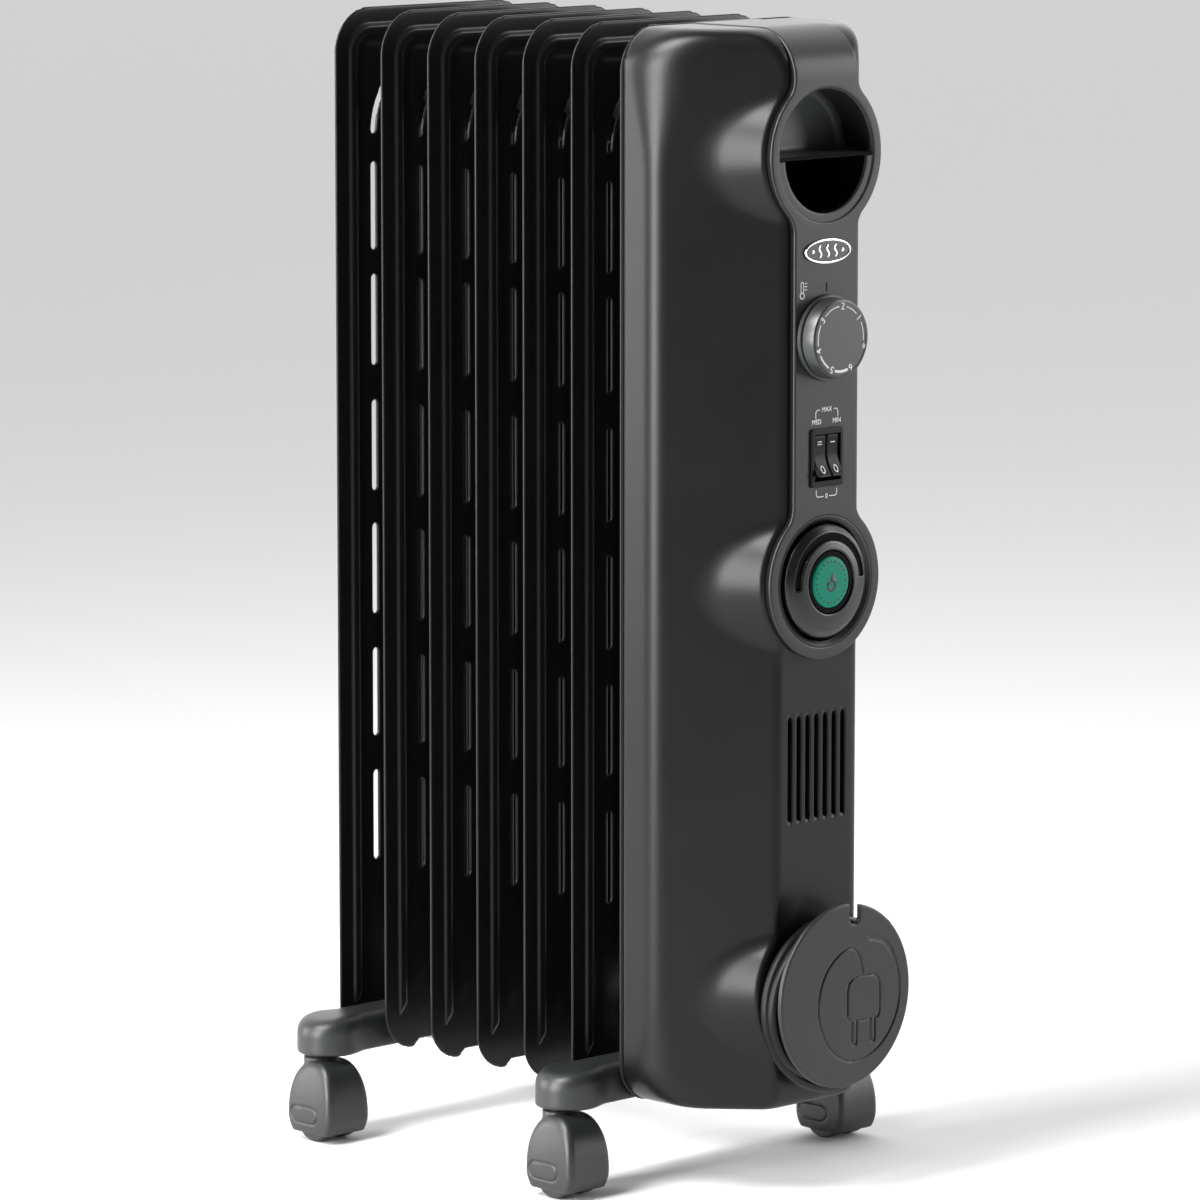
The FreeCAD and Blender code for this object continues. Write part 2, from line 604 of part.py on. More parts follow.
def make_panel():
    """The control strip: flat with two round ends, and bent back over the cover's top."""
    edges = []
    parts = [item for item in panel_outline() if item[1] != item[-1]]
    top_z = FIN_TOP - PANEL_TOP_R
    for side in (1, -1):
        for item in parts:
            pts = [Vector(side * p[0], COVER_FRONT_Y, p[1]) for p in item[1:]]
            if item[0] == "arc":
                edges.append(Part.Arc(pts[0], pts[1], pts[2]).toShape())
            else:
                edges.append(Part.LineSegment(pts[0], pts[1]).toShape())
    end = parts[-1][-1]
    edges.append(Part.LineSegment(Vector(end[0], COVER_FRONT_Y, end[1]),
                                  Vector(-end[0], COVER_FRONT_Y, end[1])).toShape())
    wire = Part.Wire(Part.__sortEdges__(edges))
    flat = Part.Face(wire).extrude(Vector(0, PANEL_FRONT_Y - COVER_FRONT_Y, 0))
    bend_outer = [(COVER_BACK_Y - 2, FIN_TOP - 60, 0), (COVER_BACK_Y - 2, FIN_TOP, 0),
                  (PANEL_FRONT_Y, FIN_TOP, PANEL_TOP_R), (PANEL_FRONT_Y, FIN_TOP - 60, 0)]
    bend_inner = [(COVER_BACK_Y - 1, FIN_TOP - 61, 0), (COVER_BACK_Y - 1, FIN_TOP - 2, 0),
                  (COVER_FRONT_Y, FIN_TOP - 2, PANEL_TOP_R - 2), (COVER_FRONT_Y, FIN_TOP - 61, 0)]
    bend = plate_yz(bend_outer, -PANEL_HALF, PANEL_HALF)
    bend = bend.cut(plate_yz(bend_inner, -PANEL_HALF - 1, PANEL_HALF + 1))
    bend = bend.cut(box(-50, 50, -170, -60, FIN_TOP - 62, end[1]))
    panel = flat.fuse(bend)
    panel = panel.cut(rod_y(0, HANDLE_Z, HANDLE_OUTER_R + 0.2, -170, -120))
    panel = panel.cut(rod_y(0, COMFORT_Z, COMFORT_PLATE_R + 0.3, -170, -120))
    panel = panel.cut(rod_y(0, KNOB_Z, 5.0, -170, -120))
    panel = panel.cut(switch_cutter(0.2, -170, -120))
    return panel.removeSplitter()


def half_disc_cutter(radius, y0, y1, upper, edge_z):
    """A half cylinder along Y: the part of a disc above or below edge_z."""
    disc = rod_y(0, HANDLE_Z, radius, y0, y1)
    reach = radius + 2
    if upper:
        keep = box(-reach, reach, y0 - 1, y1 + 1, edge_z, HANDLE_Z + reach)
    else:
        keep = box(-reach, reach, y0 - 1, y1 + 1, HANDLE_Z - reach, edge_z)
    return disc.common(keep)


def make_handle_recess():
    """A round moulded cup: a shallow pocket above a shelf, and a deep finger hole below it."""
    back_y = PANEL_FRONT_Y + CAVITY_DEPTH + 2.5
    cup = rod_y(0, HANDLE_Z, HANDLE_OUTER_R, PANEL_FRONT_Y, back_y)
    upper = half_disc_cutter(POCKET_R, PANEL_FRONT_Y - 1, PANEL_FRONT_Y + POCKET_DEPTH, True, HANDLE_Z)
    behind = half_disc_cutter(POCKET_R, PANEL_FRONT_Y + POCKET_DEPTH + 2.5, back_y + 1, True,
                              HANDLE_Z - SHELF_THICKNESS)
    lower = half_disc_cutter(CAVITY_R, PANEL_FRONT_Y - 1, PANEL_FRONT_Y + CAVITY_DEPTH, False,
                             HANDLE_Z - SHELF_THICKNESS)
    return cup.cut(upper).cut(behind).cut(lower)


def make_badge():
    front = PANEL_FRONT_Y - BADGE_THICKNESS
    outline = Part.Ellipse(Vector(BADGE_HALF_WIDTH, front, BADGE_Z),
                           Vector(0, front, BADGE_Z + BADGE_HALF_HEIGHT), Vector(0, front, BADGE_Z))
    face = Part.Face(Part.Wire([outline.toShape()]))
    return face.extrude(Vector(0, BADGE_THICKNESS, 0))


# ---------------------------------------------------------------- thermostat, switches, button
def thermostat():
    collar = rod_y(0, KNOB_Z, KNOB_COLLAR_R, PANEL_FRONT_Y - 2.8, PANEL_FRONT_Y - 0.3)
    body = Part.makeCone(KNOB_R, KNOB_R + 0.8, 7.8, Vector(0, KNOB_FRONT_Y, KNOB_Z), Vector(0, 1, 0))
    neck = rod_y(0, KNOB_Z, KNOB_R - 1.5, KNOB_FRONT_Y + 7.8, PANEL_FRONT_Y - 2.8)
    knob = body.fuse(neck).fuse(collar).removeSplitter()
    knob = soften(knob, 1.0, lambda e: flat_at_y(e, KNOB_FRONT_Y))
    knob = knob.cut(rod_y(0, KNOB_Z, SPINDLE_R, PANEL_FRONT_Y - 8.0, PANEL_FRONT_Y + 1))
    save("thermostat_knob", knob)
    body_front = COVER_FRONT_Y + COVER_WALL + 2.0
    spindle = rod_y(0, KNOB_Z, SPINDLE_R, PANEL_FRONT_Y - 8.0, body_front + 8.0)
    save("thermostat_spindle", spindle)
    case = plate_xz([(-17, KNOB_Z - 20, 3), (17, KNOB_Z - 20, 3), (17, KNOB_Z + 20, 3),
                     (-17, KNOB_Z + 20, 3)], body_front, body_front + 24)
    bush = rod_y(0, KNOB_Z, 4.8, COVER_FRONT_Y + 0.2, body_front)
    case = case.fuse(bush).cut(rod_y(0, KNOB_Z, SPINDLE_R + RUNNING_CLEARANCE, -160, body_front + 8.3))
    save("thermostat_body", case.removeSplitter())


def rocker_corners():
    """Side view of a rocker in its middle position, from the pivot."""
    return [(-4.3, 11.8, 0.6), (-2.0, 0.0, 3.0), (-4.3, -11.8, 0.6),
            (3.6, -8.6, 1.0), (5.6, 0.0, 2.0), (3.6, 8.6, 1.0)]


def switches():
    frame = plate_xz([(-12.35, SWITCH_Z - 16, 1.5), (12.35, SWITCH_Z - 16, 1.5),
                      (12.35, SWITCH_Z + 16, 1.5), (-12.35, SWITCH_Z + 16, 1.5)],
                     PANEL_FRONT_Y - 1.4, PANEL_FRONT_Y)
    frame = soften(frame, 0.6, lambda e: flat_at_y(e, PANEL_FRONT_Y - 1.4))
    frame = frame.fuse(switch_cutter(0, PANEL_FRONT_Y, -143.2))
    opening = box(-10.3, 10.3, -160, -140, SWITCH_Z - 12.8, SWITCH_Z + 12.8)
    frame = frame.cut(opening).removeSplitter()
    pin = rod_x(ROCKER_PIVOT_Y + 2.4, SWITCH_Z, 1.0, -10.9, 10.9)
    frame = frame.cut(rod_x(ROCKER_PIVOT_Y + 2.4, SWITCH_Z, 1.0, -10.9, 10.9))
    save("switch_frame", frame)
    save("rocker_pin", pin)
    case = box(-10.8, 10.8, -143.2, -119.0, SWITCH_Z - 14.4, SWITCH_Z + 14.4)
    case = soften(case, 1.5, lambda e: e.BoundBox.YLength > 20)
    for x in (-6.0, 6.0):
        for z in (-9.0, 0.0, 9.0):
            case = case.fuse(box(x - 0.4, x + 0.4, -119.5, -112.0, SWITCH_Z + z - 3.1, SWITCH_Z + z + 3.1))
    save("switch_body", case.removeSplitter())
    for name, side in (("rocker_left", -1), ("rocker_right", 1)):
        middle = side * 5.05
        rocker = plate_yz([(y, z, r) for y, z, r in rocker_corners()],
                          middle - ROCKER_WIDTH / 2, middle + ROCKER_WIDTH / 2)
        rocker.translate(Vector(0, ROCKER_PIVOT_Y, SWITCH_Z))
        pivot = Vector(0, ROCKER_PIVOT_Y + 2.4, SWITCH_Z)
        rocker.rotate(pivot, Vector(1, 0, 0), -ROCKER_TILT)
        rocker = rocker.cut(rod_x(pivot.y, pivot.z, 1.0 + RUNNING_CLEARANCE, -12, 12))
        save(name, rocker)


def turned_y(profile, z):
    """A solid turned about the line along Y at X 0 and height z, from (radius, y) corners."""
    points = [Vector(r, y, z) for r, y in profile]
    face = Part.Face(Part.makePolygon(points + points[:1]))
    return face.revolve(Vector(0, 0, z), Vector(0, 1, 0), 360)


def comfort_group():
    """A domed round plate, the button in its middle with a lens, and the board behind them."""
    hole_r = BUTTON_R + BUTTON_GAP
    inner_front = COMFORT_DOME[-1][1]
    profile = [(COMFORT_PLATE_R, COMFORT_BACK_Y), (COMFORT_PLATE_R, COMFORT_DOME[0][1] + 1.0)]
    profile += list(COMFORT_DOME) + [(hole_r, inner_front), (hole_r, COMFORT_BACK_Y)]
    plate = turned_y(profile, COMFORT_Z)
    sleeve = turned_y([(hole_r, COMFORT_BACK_Y - 1), (hole_r + 2.0, COMFORT_BACK_Y - 1),
                       (hole_r + 2.0, BUTTON_BACK_Y + 3.0), (hole_r, BUTTON_BACK_Y + 3.0)], COMFORT_Z)
    plate = plate.fuse(sleeve)
    slot_floor = COMFORT_DOME[1][1] + ARC_SLOT_DEPTH
    arc = turned_y([(ARC_SLOT[0], inner_front - 1), (ARC_SLOT[1], inner_front - 1),
                    (ARC_SLOT[1], slot_floor), (ARC_SLOT[0], slot_floor)], COMFORT_Z)
    far = 2 * COMFORT_PLATE_R
    closed_side = plate_xz([(0, COMFORT_Z, 0), (far, COMFORT_Z, 0), (far, COMFORT_Z - far, 0),
                            (-far, COMFORT_Z - far, 0), (-far, COMFORT_Z - far / 5, 0)],
                           inner_front - 2, slot_floor + 1)
    plate = plate.cut(arc.cut(closed_side))
    save("comfort_plate", plate.removeSplitter())
    button = rod_y(0, COMFORT_Z, BUTTON_R, BUTTON_FRONT_Y, BUTTON_BACK_Y)
    button = soften(button, 1.0, lambda e: flat_at_y(e, BUTTON_FRONT_Y))
    button = button.cut(rod_y(0, COMFORT_Z, LENS_R, BUTTON_FRONT_Y - 1, BUTTON_FRONT_Y + LENS_SEAT))
    save("comfort_button", button)
    lens_front = BUTTON_FRONT_Y - LENS_PROUD
    lens = rod_y(0, COMFORT_Z, LENS_R, lens_front, BUTTON_FRONT_Y + LENS_SEAT)
    lens = soften(lens, 0.7, lambda e: flat_at_y(e, lens_front))
    save("button_lens", lens)
    board_front = KEY_FRONT_Y + 7.8
    board = box(-24, 24, board_front, board_front + 1.6, COMFORT_Z - 30, COMFORT_Z + 30)
    key = box(-3.5, 3.5, KEY_FRONT_Y + 0.4, board_front, COMFORT_Z - 3.5, COMFORT_Z + 3.5)
    key = key.fuse(rod_y(0, COMFORT_Z, 1.7, KEY_FRONT_Y, KEY_FRONT_Y + 0.4))
    board = board.fuse(key)
    for x, z in ((-18, 18), (-8, 20), (10, 22), (18, -20), (-14, -20)):
        board = board.fuse(rod_y(x, COMFORT_Z + z, 3.0, board_front + 1.6, board_front + 9))
    save("comfort_board", board.removeSplitter())


# ---------------------------------------------------------------- wiring and mains cord
def wiring():
    block = box(-20, 20, TERMINAL_FRONT_Y, SHIELD_FRONT_Y, TERMINAL_Z - 13, TERMINAL_Z + 13)
    for index in (-1, 0, 1):
        block = block.cut(rod_y(TERMINAL_PITCH * index, TERMINAL_Z, 3.0, -100, -90))
    save("terminal_block", block)
    cutout = rod_y(CUTOUT_X, CUTOUT_Z, 8.0, -88.0, SHIELD_FRONT_Y)
    tab = box(CUTOUT_X - 4, CUTOUT_X + 4, -92.0, -88.0, CUTOUT_Z - 2, CUTOUT_Z + 2)
    save("thermal_cutout", cutout.fuse(tab).removeSplitter())
    wires = []
    for run in (WIRE_TO_SWITCH, WIRE_TO_CUTOUT, WIRE_TO_ELEMENT):
        wires.append(tube([Vector(*p) for p in run], WIRE_R))
    save("wiring_loom", group(wires))


def notch_cutter():
    return plate_xz([(3.0, WINDER_Z + DISC_R - 12, 3.9), (11.0, WINDER_Z + DISC_R - 12, 3.9),
                     (11.0, WINDER_Z + DISC_R + 6, 0), (3.0, WINDER_Z + DISC_R + 6, 0)], -180, -160)


def winder_and_cord():
    disc_back = FRONT_Y + DISC_THICKNESS
    drum = rod_y(0, WINDER_Z, DRUM_R, disc_back, BOSS_FRONT_Y)
    drum = drum.cut(rod_y(0, WINDER_Z, DRUM_R - 3.0, disc_back + 2.5, BOSS_FRONT_Y + 1))
    gland_z = WINDER_Z - DRUM_R + 7.0
    drum = drum.cut(rod_x(-156.0, gland_z, 4.0, -DRUM_R - 2, -4.0))
    save("winder_drum", drum)
    disc = rod_y(0, WINDER_Z, DISC_R, FRONT_Y, disc_back)
    disc = soften(disc, 1.0, lambda e: flat_at_y(e, FRONT_Y))
    disc = disc.cut(notch_cutter())
    save("winder_disc", disc)
    gland = rod_x(-156.0, gland_z, 4.0, -11.0, -5.5).cut(rod_x(-156.0, gland_z, 3.3, -15, -4))
    save("cord_gland", gland)

    turns = Part.Ellipse(Vector(0, COIL_FRONT_Y, WINDER_Z - COIL_SAG + COIL_HALF_HEIGHT),
                         Vector(COIL_HALF_WIDTH, COIL_FRONT_Y, WINDER_Z - COIL_SAG),
                         Vector(0, COIL_FRONT_Y, WINDER_Z - COIL_SAG))
    coil = Part.Face(Part.Wire([turns.toShape()])).extrude(Vector(0, COIL_BACK_Y - COIL_FRONT_Y, 0))
    coil = coil.cut(rod_y(0, WINDER_Z, DRUM_R + 0.3, -180, -140))
    save("cord_coil", coil)

    route = [Vector(*p) for p in CORD_TAIL]
    save("cord_tail", tube(route, CORD_R, "cord tail"))
    save("mains_plug", make_plug(route[-1]))


def make_plug(top):
    """A two pin plug hanging from the end of the cord, its flat side along the slope."""
    body = Part.makeBox(25, 15, 27, Vector(-12.5, -7.5, -34))
    body = soften(body, 4.0, lambda e: e.BoundBox.ZLength > 20)
    body = soften(body, 1.5, lambda e: flat_at_z(e, -34) or flat_at_z(e, -7))
    neck = Part.makeCone(5.5, 4.0, 7.0, Vector(0, 0, -7.0), Vector(0, 0, 1))
    plug = body.fuse(neck)
    for side in (-1, 1):
        blade = Part.makeBox(1.5, 6.3, 17.0, Vector(side * 6.35 - 0.75, -3.15, -51.0))
        plug = plug.fuse(blade)
    plug = plug.removeSplitter()
    plug.rotate(Vector(0, 0, 0), Vector(0, 0, 1), PLUG_TILT)
    plug.translate(top)
    return plug


# ---------------------------------------------------------------- feet and castors
def foot_bar(end):
    y = STEM_Y[end]
    low, high = ARM_LOW, ARM_HIGH
    bar = box(-ARM_END_X, ARM_END_X, y - ARM_HALF, y + ARM_HALF, low, high)
    for side in (-1, 1):
        bar = bar.fuse(rod_z(side * ARM_END_X, y, ARM_END_R, low, high))
    middle = box(-48, 48, y - 40, y + 40, low - 1, low + 7.0)
    top = box(-44, 44, y - 40, y + 40, high - 9.2, high + 1)
    bar = bar.cut(middle).cut(top).removeSplitter()
    bar = soften(bar, 7.0, lambda e: flat_at_z(e, high) and abs(e.CenterOfMass.x) > 60)
    for side in (-1, 1):
        bar = bar.cut(rod_z(side * STEM_X, y, STEM_R + RUNNING_CLEARANCE, low - 1, low + 18))
        bar = bar.cut(rod_z(side * U_BOLT_X, y, U_BOLT_R + 0.1, low - 1, high + 1))
    return bar


def u_bolt(end):
    y = STEM_Y[end]
    if end == "f":
        y_fin = (fin_y(FIN_COUNT) + fin_y(FIN_COUNT - 1)) / 2
    else:
        y_fin = (fin_y(1) + fin_y(2)) / 2
    bow = Part.makeTorus(U_BOLT_X, U_BOLT_R, Vector(0, y, HEADER_LOW_Z), Vector(0, 1, 0))
    bow = bow.common(box(-30, 30, y - 10, y + 10, HEADER_LOW_Z, HEADER_LOW_Z + 30))
    assert abs(y - y_fin) < 5.0
    legs = [rod_z(side * U_BOLT_X, y, U_BOLT_R, ARM_LOW - 4, HEADER_LOW_Z) for side in (-1, 1)]
    return bow.fuse(legs[0]).fuse(legs[1]).removeSplitter()


def wing_nuts(end):
    y = STEM_Y[end]
    nuts = []
    top = ARM_LOW + 7.0
    for side in (-1, 1):
        x = side * U_BOLT_X
        nut = Part.makeCone(4.2, 5.6, 6.0, Vector(x, y, top - 6.0), Vector(0, 0, 1))
        for wing in (-1, 1):
            ear = rod_y(x + wing * 7.0, top - 6.5, 3.6, y - 0.8, y + 0.8)
            nut = nut.fuse(ear)
        nuts.append(nut.cut(rod_z(x, y, U_BOLT_R, top - 12, top + 1)).removeSplitter())
    return nuts


def hood_profile(inset):
    """Side view of the castor's hood from its stem, as (y, z, radius)."""
    rear, front = HOOD_REAR - inset, HOOD_FRONT + inset
    top = HOOD_TOP - inset
    return [(rear, HOOD_LOW, 0), (rear, 26.0, 16.0 - inset), (rear - 5.0, top, 9.0 - inset / 2),
            (front + 9.0, top, 13.0 - inset / 2), (front, 27.0, 16.0 - inset),
            (front, HOOD_LOW, 0)]


def make_hood():
    outer = plate_yz(hood_profile(0), -HOOD_HALF, HOOD_HALF)
    outer = soften(outer, 6.0, lambda e: abs(abs(e.CenterOfMass.x) - HOOD_HALF) < 1e-3
                   and not flat_at_z(e, HOOD_LOW))
    inner_half = HOOD_HALF - HOOD_WALL
    inner = plate_yz([(y, z - (1 if z == HOOD_LOW else 0), r)
                      for y, z, r in hood_profile(HOOD_WALL)], -inner_half, inner_half)
    web = box(-3.0, 3.0, HOOD_FRONT, HOOD_REAR, HOOD_LOW + 2, HOOD_TOP)
    inner = inner.cut(web)
    hood = outer.cut(inner)
    hood = hood.fuse(rod_z(0, 0, NECK_R, HOOD_TOP - 8, ARM_LOW - 1.2))
    hood = hood.cut(rod_z(0, 0, STEM_R, 30.0, 60.0))
    hood = hood.cut(rod_x(-WHEEL_TRAIL, WHEEL_R, AXLE_R, -12.5, 12.5))
    return hood.removeSplitter()


def castors():
    hood = make_hood()
    stem = rod_z(0, 0, STEM_R, 30.0, ARM_LOW + 17.5)
    stem = soften(stem, 1.0, lambda e: flat_at_z(e, ARM_LOW + 17.5))
    axle = rod_x(-WHEEL_TRAIL, WHEEL_R, AXLE_R, -12.5, 12.5)
    pair = []
    for side in (-1, 1):
        low, high = sorted((side * 3.4, side * 12.2))
        wheel = rod_x(-WHEEL_TRAIL, WHEEL_R, WHEEL_R, low, high)
        wheel = soften(wheel, 1.5, lambda e: e.BoundBox.ZLength > WHEEL_R)
        wheel = wheel.cut(rod_x(-WHEEL_TRAIL, WHEEL_R, AXLE_R + RUNNING_CLEARANCE, -20, 20))
        pair.append(wheel)
    for corner, (side, end) in CORNERS.items():
        place = Vector(side * STEM_X, STEM_Y[end], 0)
        for name, shape in (("castor_hood_", hood), ("castor_stem_", stem),
                            ("castor_axle_", axle), ("castor_wheels_", group(pair))):
            placed = shape.copy()
            placed.translate(place)
            save(name + corner, placed)


os.makedirs("parts", exist_ok=True)
radiator_body()
heating_element()
save("control_cover", cover_posts(make_cover()))
save("cover_gasket", make_gasket())
save("heat_shield", make_heat_shield())
save("cover_screws", group(shield_screws()))
save("control_panel", make_panel())
save("handle_recess", make_handle_recess())
save("badge", make_badge())
thermostat()
switches()
comfort_group()
wiring()
winder_and_cord()
for end, word in (("f", "front"), ("r", "rear")):
    save("foot_bar_" + word, foot_bar(end))
save("u_bolts", group([u_bolt("f"), u_bolt("r")]))
save("wing_nuts", group(wing_nuts("f") + wing_nuts("r")))
castors()
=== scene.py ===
"""The looks of the oil filled radiator heater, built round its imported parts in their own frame.

Helpers take millimetres in the row frame and make meshes in metres. The front faces -Y.
"""
import json
import math

import bmesh
import bpy
import numpy as np
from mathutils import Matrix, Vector
from mathutils.bvhtree import BVHTree


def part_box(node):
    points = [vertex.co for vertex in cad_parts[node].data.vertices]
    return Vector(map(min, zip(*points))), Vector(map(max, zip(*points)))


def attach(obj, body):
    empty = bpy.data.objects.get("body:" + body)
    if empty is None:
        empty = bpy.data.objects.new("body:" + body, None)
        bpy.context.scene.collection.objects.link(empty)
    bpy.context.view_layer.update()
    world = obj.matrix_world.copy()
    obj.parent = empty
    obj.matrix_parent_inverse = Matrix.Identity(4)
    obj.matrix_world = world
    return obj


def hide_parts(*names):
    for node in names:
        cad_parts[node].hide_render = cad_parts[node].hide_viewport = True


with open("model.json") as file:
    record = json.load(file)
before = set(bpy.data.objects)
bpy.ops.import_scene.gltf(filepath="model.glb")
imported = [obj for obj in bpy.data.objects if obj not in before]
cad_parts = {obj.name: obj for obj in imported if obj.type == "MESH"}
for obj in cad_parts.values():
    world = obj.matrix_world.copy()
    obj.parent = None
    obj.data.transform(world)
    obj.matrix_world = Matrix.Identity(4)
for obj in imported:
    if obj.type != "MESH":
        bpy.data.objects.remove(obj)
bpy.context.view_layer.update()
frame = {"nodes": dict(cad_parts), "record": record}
MM = 0.001
ROOT = "heater"


def span(node):
    """Lowest and highest corner of a CAD node, in millimetres."""
    low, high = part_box(node)
    return np.array(low) / MM, np.array(high) / MM


def middle(node):
    low, high = span(node)
    return (low + high) / 2


# ---- sizes taken from the frame
COVER_LOW, COVER_HIGH = span("control_cover")
PANEL_LOW, PANEL_HIGH = span("control_panel")
COVER_HALF = COVER_HIGH[0]
PANEL_FRONT = PANEL_LOW[1]
RING_R = PANEL_HIGH[0]
HANDLE_Z = middle("handle_recess")[2]
COMFORT_Z = middle("comfort_plate")[2]
KNOB_Z = middle("thermostat_knob")[2]
SWITCH_Z = middle("switch_frame")[2]
BADGE_Z = middle("badge")[2]
WINDER_Z = middle("winder_drum")[2]
TOP_Z = COVER_HIGH[2]
BASE_Z = COVER_LOW[2]

# ---- sizes of the shaped surfaces
STRIP_HALF = 24.6
NECK_FILLET = 14.0
BEND_R = 28.0                   # the strip's bend over the cover's top
STRIP_BEVEL = 1.2
SEAT_Y = -147.3                 # the cover's front, behind the control strip
LOWER_FRONT_Y = -145.0          # and below the strip
COVER_CORNER = 24.0
TOP_BEND_R = 24.3
RIDGE_Y = -94.4                 # where a side wall turns into the sloped shoulder
SLOPE_END = (27.3, -149.0)      # (x, y) where the shoulder meets the front
FLARE_SLOPE = 0.417
FLARE_REACH = 47.5
WALL = 3.4
VENT_Z = 237.5
VENT_PITCH = 6.9
GRIP_R = 38.0
SHELF_THICKNESS = 2.0
POCKET_DEPTH = 25.0
CAVITY_DEPTH = 46.0


# ---- distances and smooth joins
def smooth_max(a, b, k):
    """The larger of two distances, with the edge between them rounded by about k."""
    h = np.maximum(k - np.abs(a - b), 0) / k
    return np.maximum(a, b) + h * h * k / 4


def smooth_min(a, b, k):
    return -smooth_max(-a, -b, k)


def ramp(value, low, high):
    """0 below low, 1 above high, smooth between."""
    t = np.clip((value - low) / (high - low), 0, 1)
    return t * t * (3 - 2 * t)


def rounded_corner(a, b, r):
    """Distance to the meeting of two square faces, a and b from each, with an edge of radius r."""
    return np.hypot(np.maximum(a + r, 0), np.maximum(b + r, 0)) + np.minimum(np.maximum(a, b) + r, 0) - r


def stadium(a, b, half_length, radius):
    """Distance to a slot shape that runs along b."""
    return np.hypot(a, np.maximum(np.abs(b) - half_length, 0)) - radius


# ---- meshes
def lines(low, high, step, fine=()):
    """Grid lines from low to high, step apart, and closer inside each (low, high, step) of fine."""
    marks = [low]
    while marks[-1] < high:
        at = marks[-1]
        here = step
        for a, b, close in fine:
            if a <= at < b:
                here = min(here, close)
            elif at < a < at + here:
                here = max(a - at, close)
        marks.append(at + here)
    return np.array(marks)


def add(name, data):
    """A new object in the scene for a mesh, curve, light or camera."""
    obj = bpy.data.objects.new(name, data)
    bpy.context.scene.collection.objects.link(obj)
    return obj


def link(name, mesh, smooth_angle=None):
    """A new object for a mesh, smooth except at edges sharper than smooth_angle degrees."""
    mesh.polygons.foreach_set("use_smooth", np.ones(len(mesh.polygons), bool))
    if smooth_angle:
        mesh.set_sharp_from_angle(angle=math.radians(smooth_angle))
    return add(name, mesh)


def mesh_from(name, points, faces):
    """A mesh from points in millimetres."""
    mesh = bpy.data.meshes.new(name)
    mesh.from_pydata((np.asarray(points) * MM).tolist(), [], [list(map(int, f)) for f in faces])
    mesh.update()
    return mesh


def slope_of(distance, p):
    """Value and gradient of a distance at points p."""
    reach = 0.02
    gradient = np.zeros_like(p)
    for axis in range(3):
        step = np.zeros(3)
        step[axis] = reach
        gradient[:, axis] = (distance(*(p + step).T) - distance(*(p - step).T)) / (2 * reach)
    return distance(*p.T), gradient


def skin(name, distance, xs, ys, zs, polish=4):
    """A closed mesh of the surface where distance(x, y, z) is zero, one point for each cell it crosses."""
    axes = (xs, ys, zs)
    value = distance(*np.meshgrid(xs, ys, zs, indexing="ij"))
    cells = np.array([len(a) - 1 for a in axes])
    quads, places = [], []
    for axis in range(3):
        u, v = [a for a in range(3) if a != axis]
        lower = np.moveaxis(value, axis, 0)[:-1]
        upper = np.moveaxis(value, axis, 0)[1:]
        m, i, j = np.nonzero((lower < 0) != (upper < 0))
        a, b = lower[m, i, j], upper[m, i, j]
        share = a / (a - b)
        place = np.zeros((len(m), 3))
        place[:, axis] = axes[axis][m] + share * (axes[axis][m + 1] - axes[axis][m])
        place[:, u] = axes[u][i]
        place[:, v] = axes[v][j]
        around = []
        for du, dv in ((-1, -1), (0, -1), (0, 0), (-1, 0)):
            cell = np.zeros((len(m), 3), int)
            cell[:, axis] = m
            cell[:, u] = i + du
            cell[:, v] = j + dv
            around.append((cell[:, 0] * cells[1] + cell[:, 1]) * cells[2] + cell[:, 2])
        around = np.array(around).T
        backwards = (a < 0) == (axis == 1)
        around[backwards] = around[backwards][:, ::-1]
        quads.append(around)
        places.append(place)
    quads, places = np.concatenate(quads), np.concatenate(places)
    ids, where = np.unique(quads.ravel(), return_inverse=True)
    where = where.reshape(-1)
    count = np.bincount(where)
    points = np.empty((len(ids), 3))
    for axis in range(3):
        points[:, axis] = np.bincount(where, np.repeat(places[:, axis], 4)) / count
    limit = 0.6 * min(np.diff(a).max() for a in axes)
    for _ in range(polish):
        d, g = slope_of(distance, points)
        move = g * (d / np.maximum((g * g).sum(1), 0.05))[:, None]
        length = np.linalg.norm(move, axis=1)
        points -= move * np.minimum(1, limit / np.maximum(length, 1e-9))[:, None]
    return mesh_from(name, points, where.reshape(-1, 4))


def turned(name, profile, centre, segments=96, smooth_angle=35):
    """A round piece about the line along Y through centre (x, z), from (radius, y) corners."""
    points, faces = [], []
    rows = []
    for r, y in profile:
        if r < 1e-6:
            rows.append([len(points)] * segments)
            points.append((centre[0], y, centre[1]))
            continue
        rows.append(list(range(len(points), len(points) + segments)))
        for s in range(segments):
            angle = 2 * math.pi * s / segments
            points.append((centre[0] + r * math.cos(angle), y, centre[1] + r * math.sin(angle)))
    loop = len(rows) if profile[0][0] > 1e-6 and profile[-1][0] > 1e-6 else len(rows) - 1
    for k in range(loop):
        near, far = rows[k], rows[(k + 1) % len(rows)]
        for s in range(segments):
            t = (s + 1) % segments
            face = []
            for corner in (near[s], near[t], far[t], far[s]):
                if corner not in face:
                    face.append(corner)
            if len(face) > 2:
                faces.append(face)
    mesh = mesh_from(name, points, faces)
    clean(mesh)
    return link(name, mesh, smooth_angle)


def clean(mesh):
    """Join doubled points, and turn every face of a closed mesh outwards."""
    bm = bmesh.new()
    bm.from_mesh(mesh)
    bmesh.ops.remove_doubles(bm, verts=bm.verts, dist=2e-6)
    bmesh.ops.recalc_face_normals(bm, faces=bm.faces)
    bm.to_mesh(mesh)
    bm.free()


def mesh_of(curve):
    """The mesh that a curve or text makes."""
    holder = add(curve.name, curve)
    bpy.context.view_layer.update()
    mesh = bpy.data.meshes.new_from_object(holder.evaluated_get(bpy.context.evaluated_depsgraph_get()))
    bpy.data.objects.remove(holder)
    return mesh


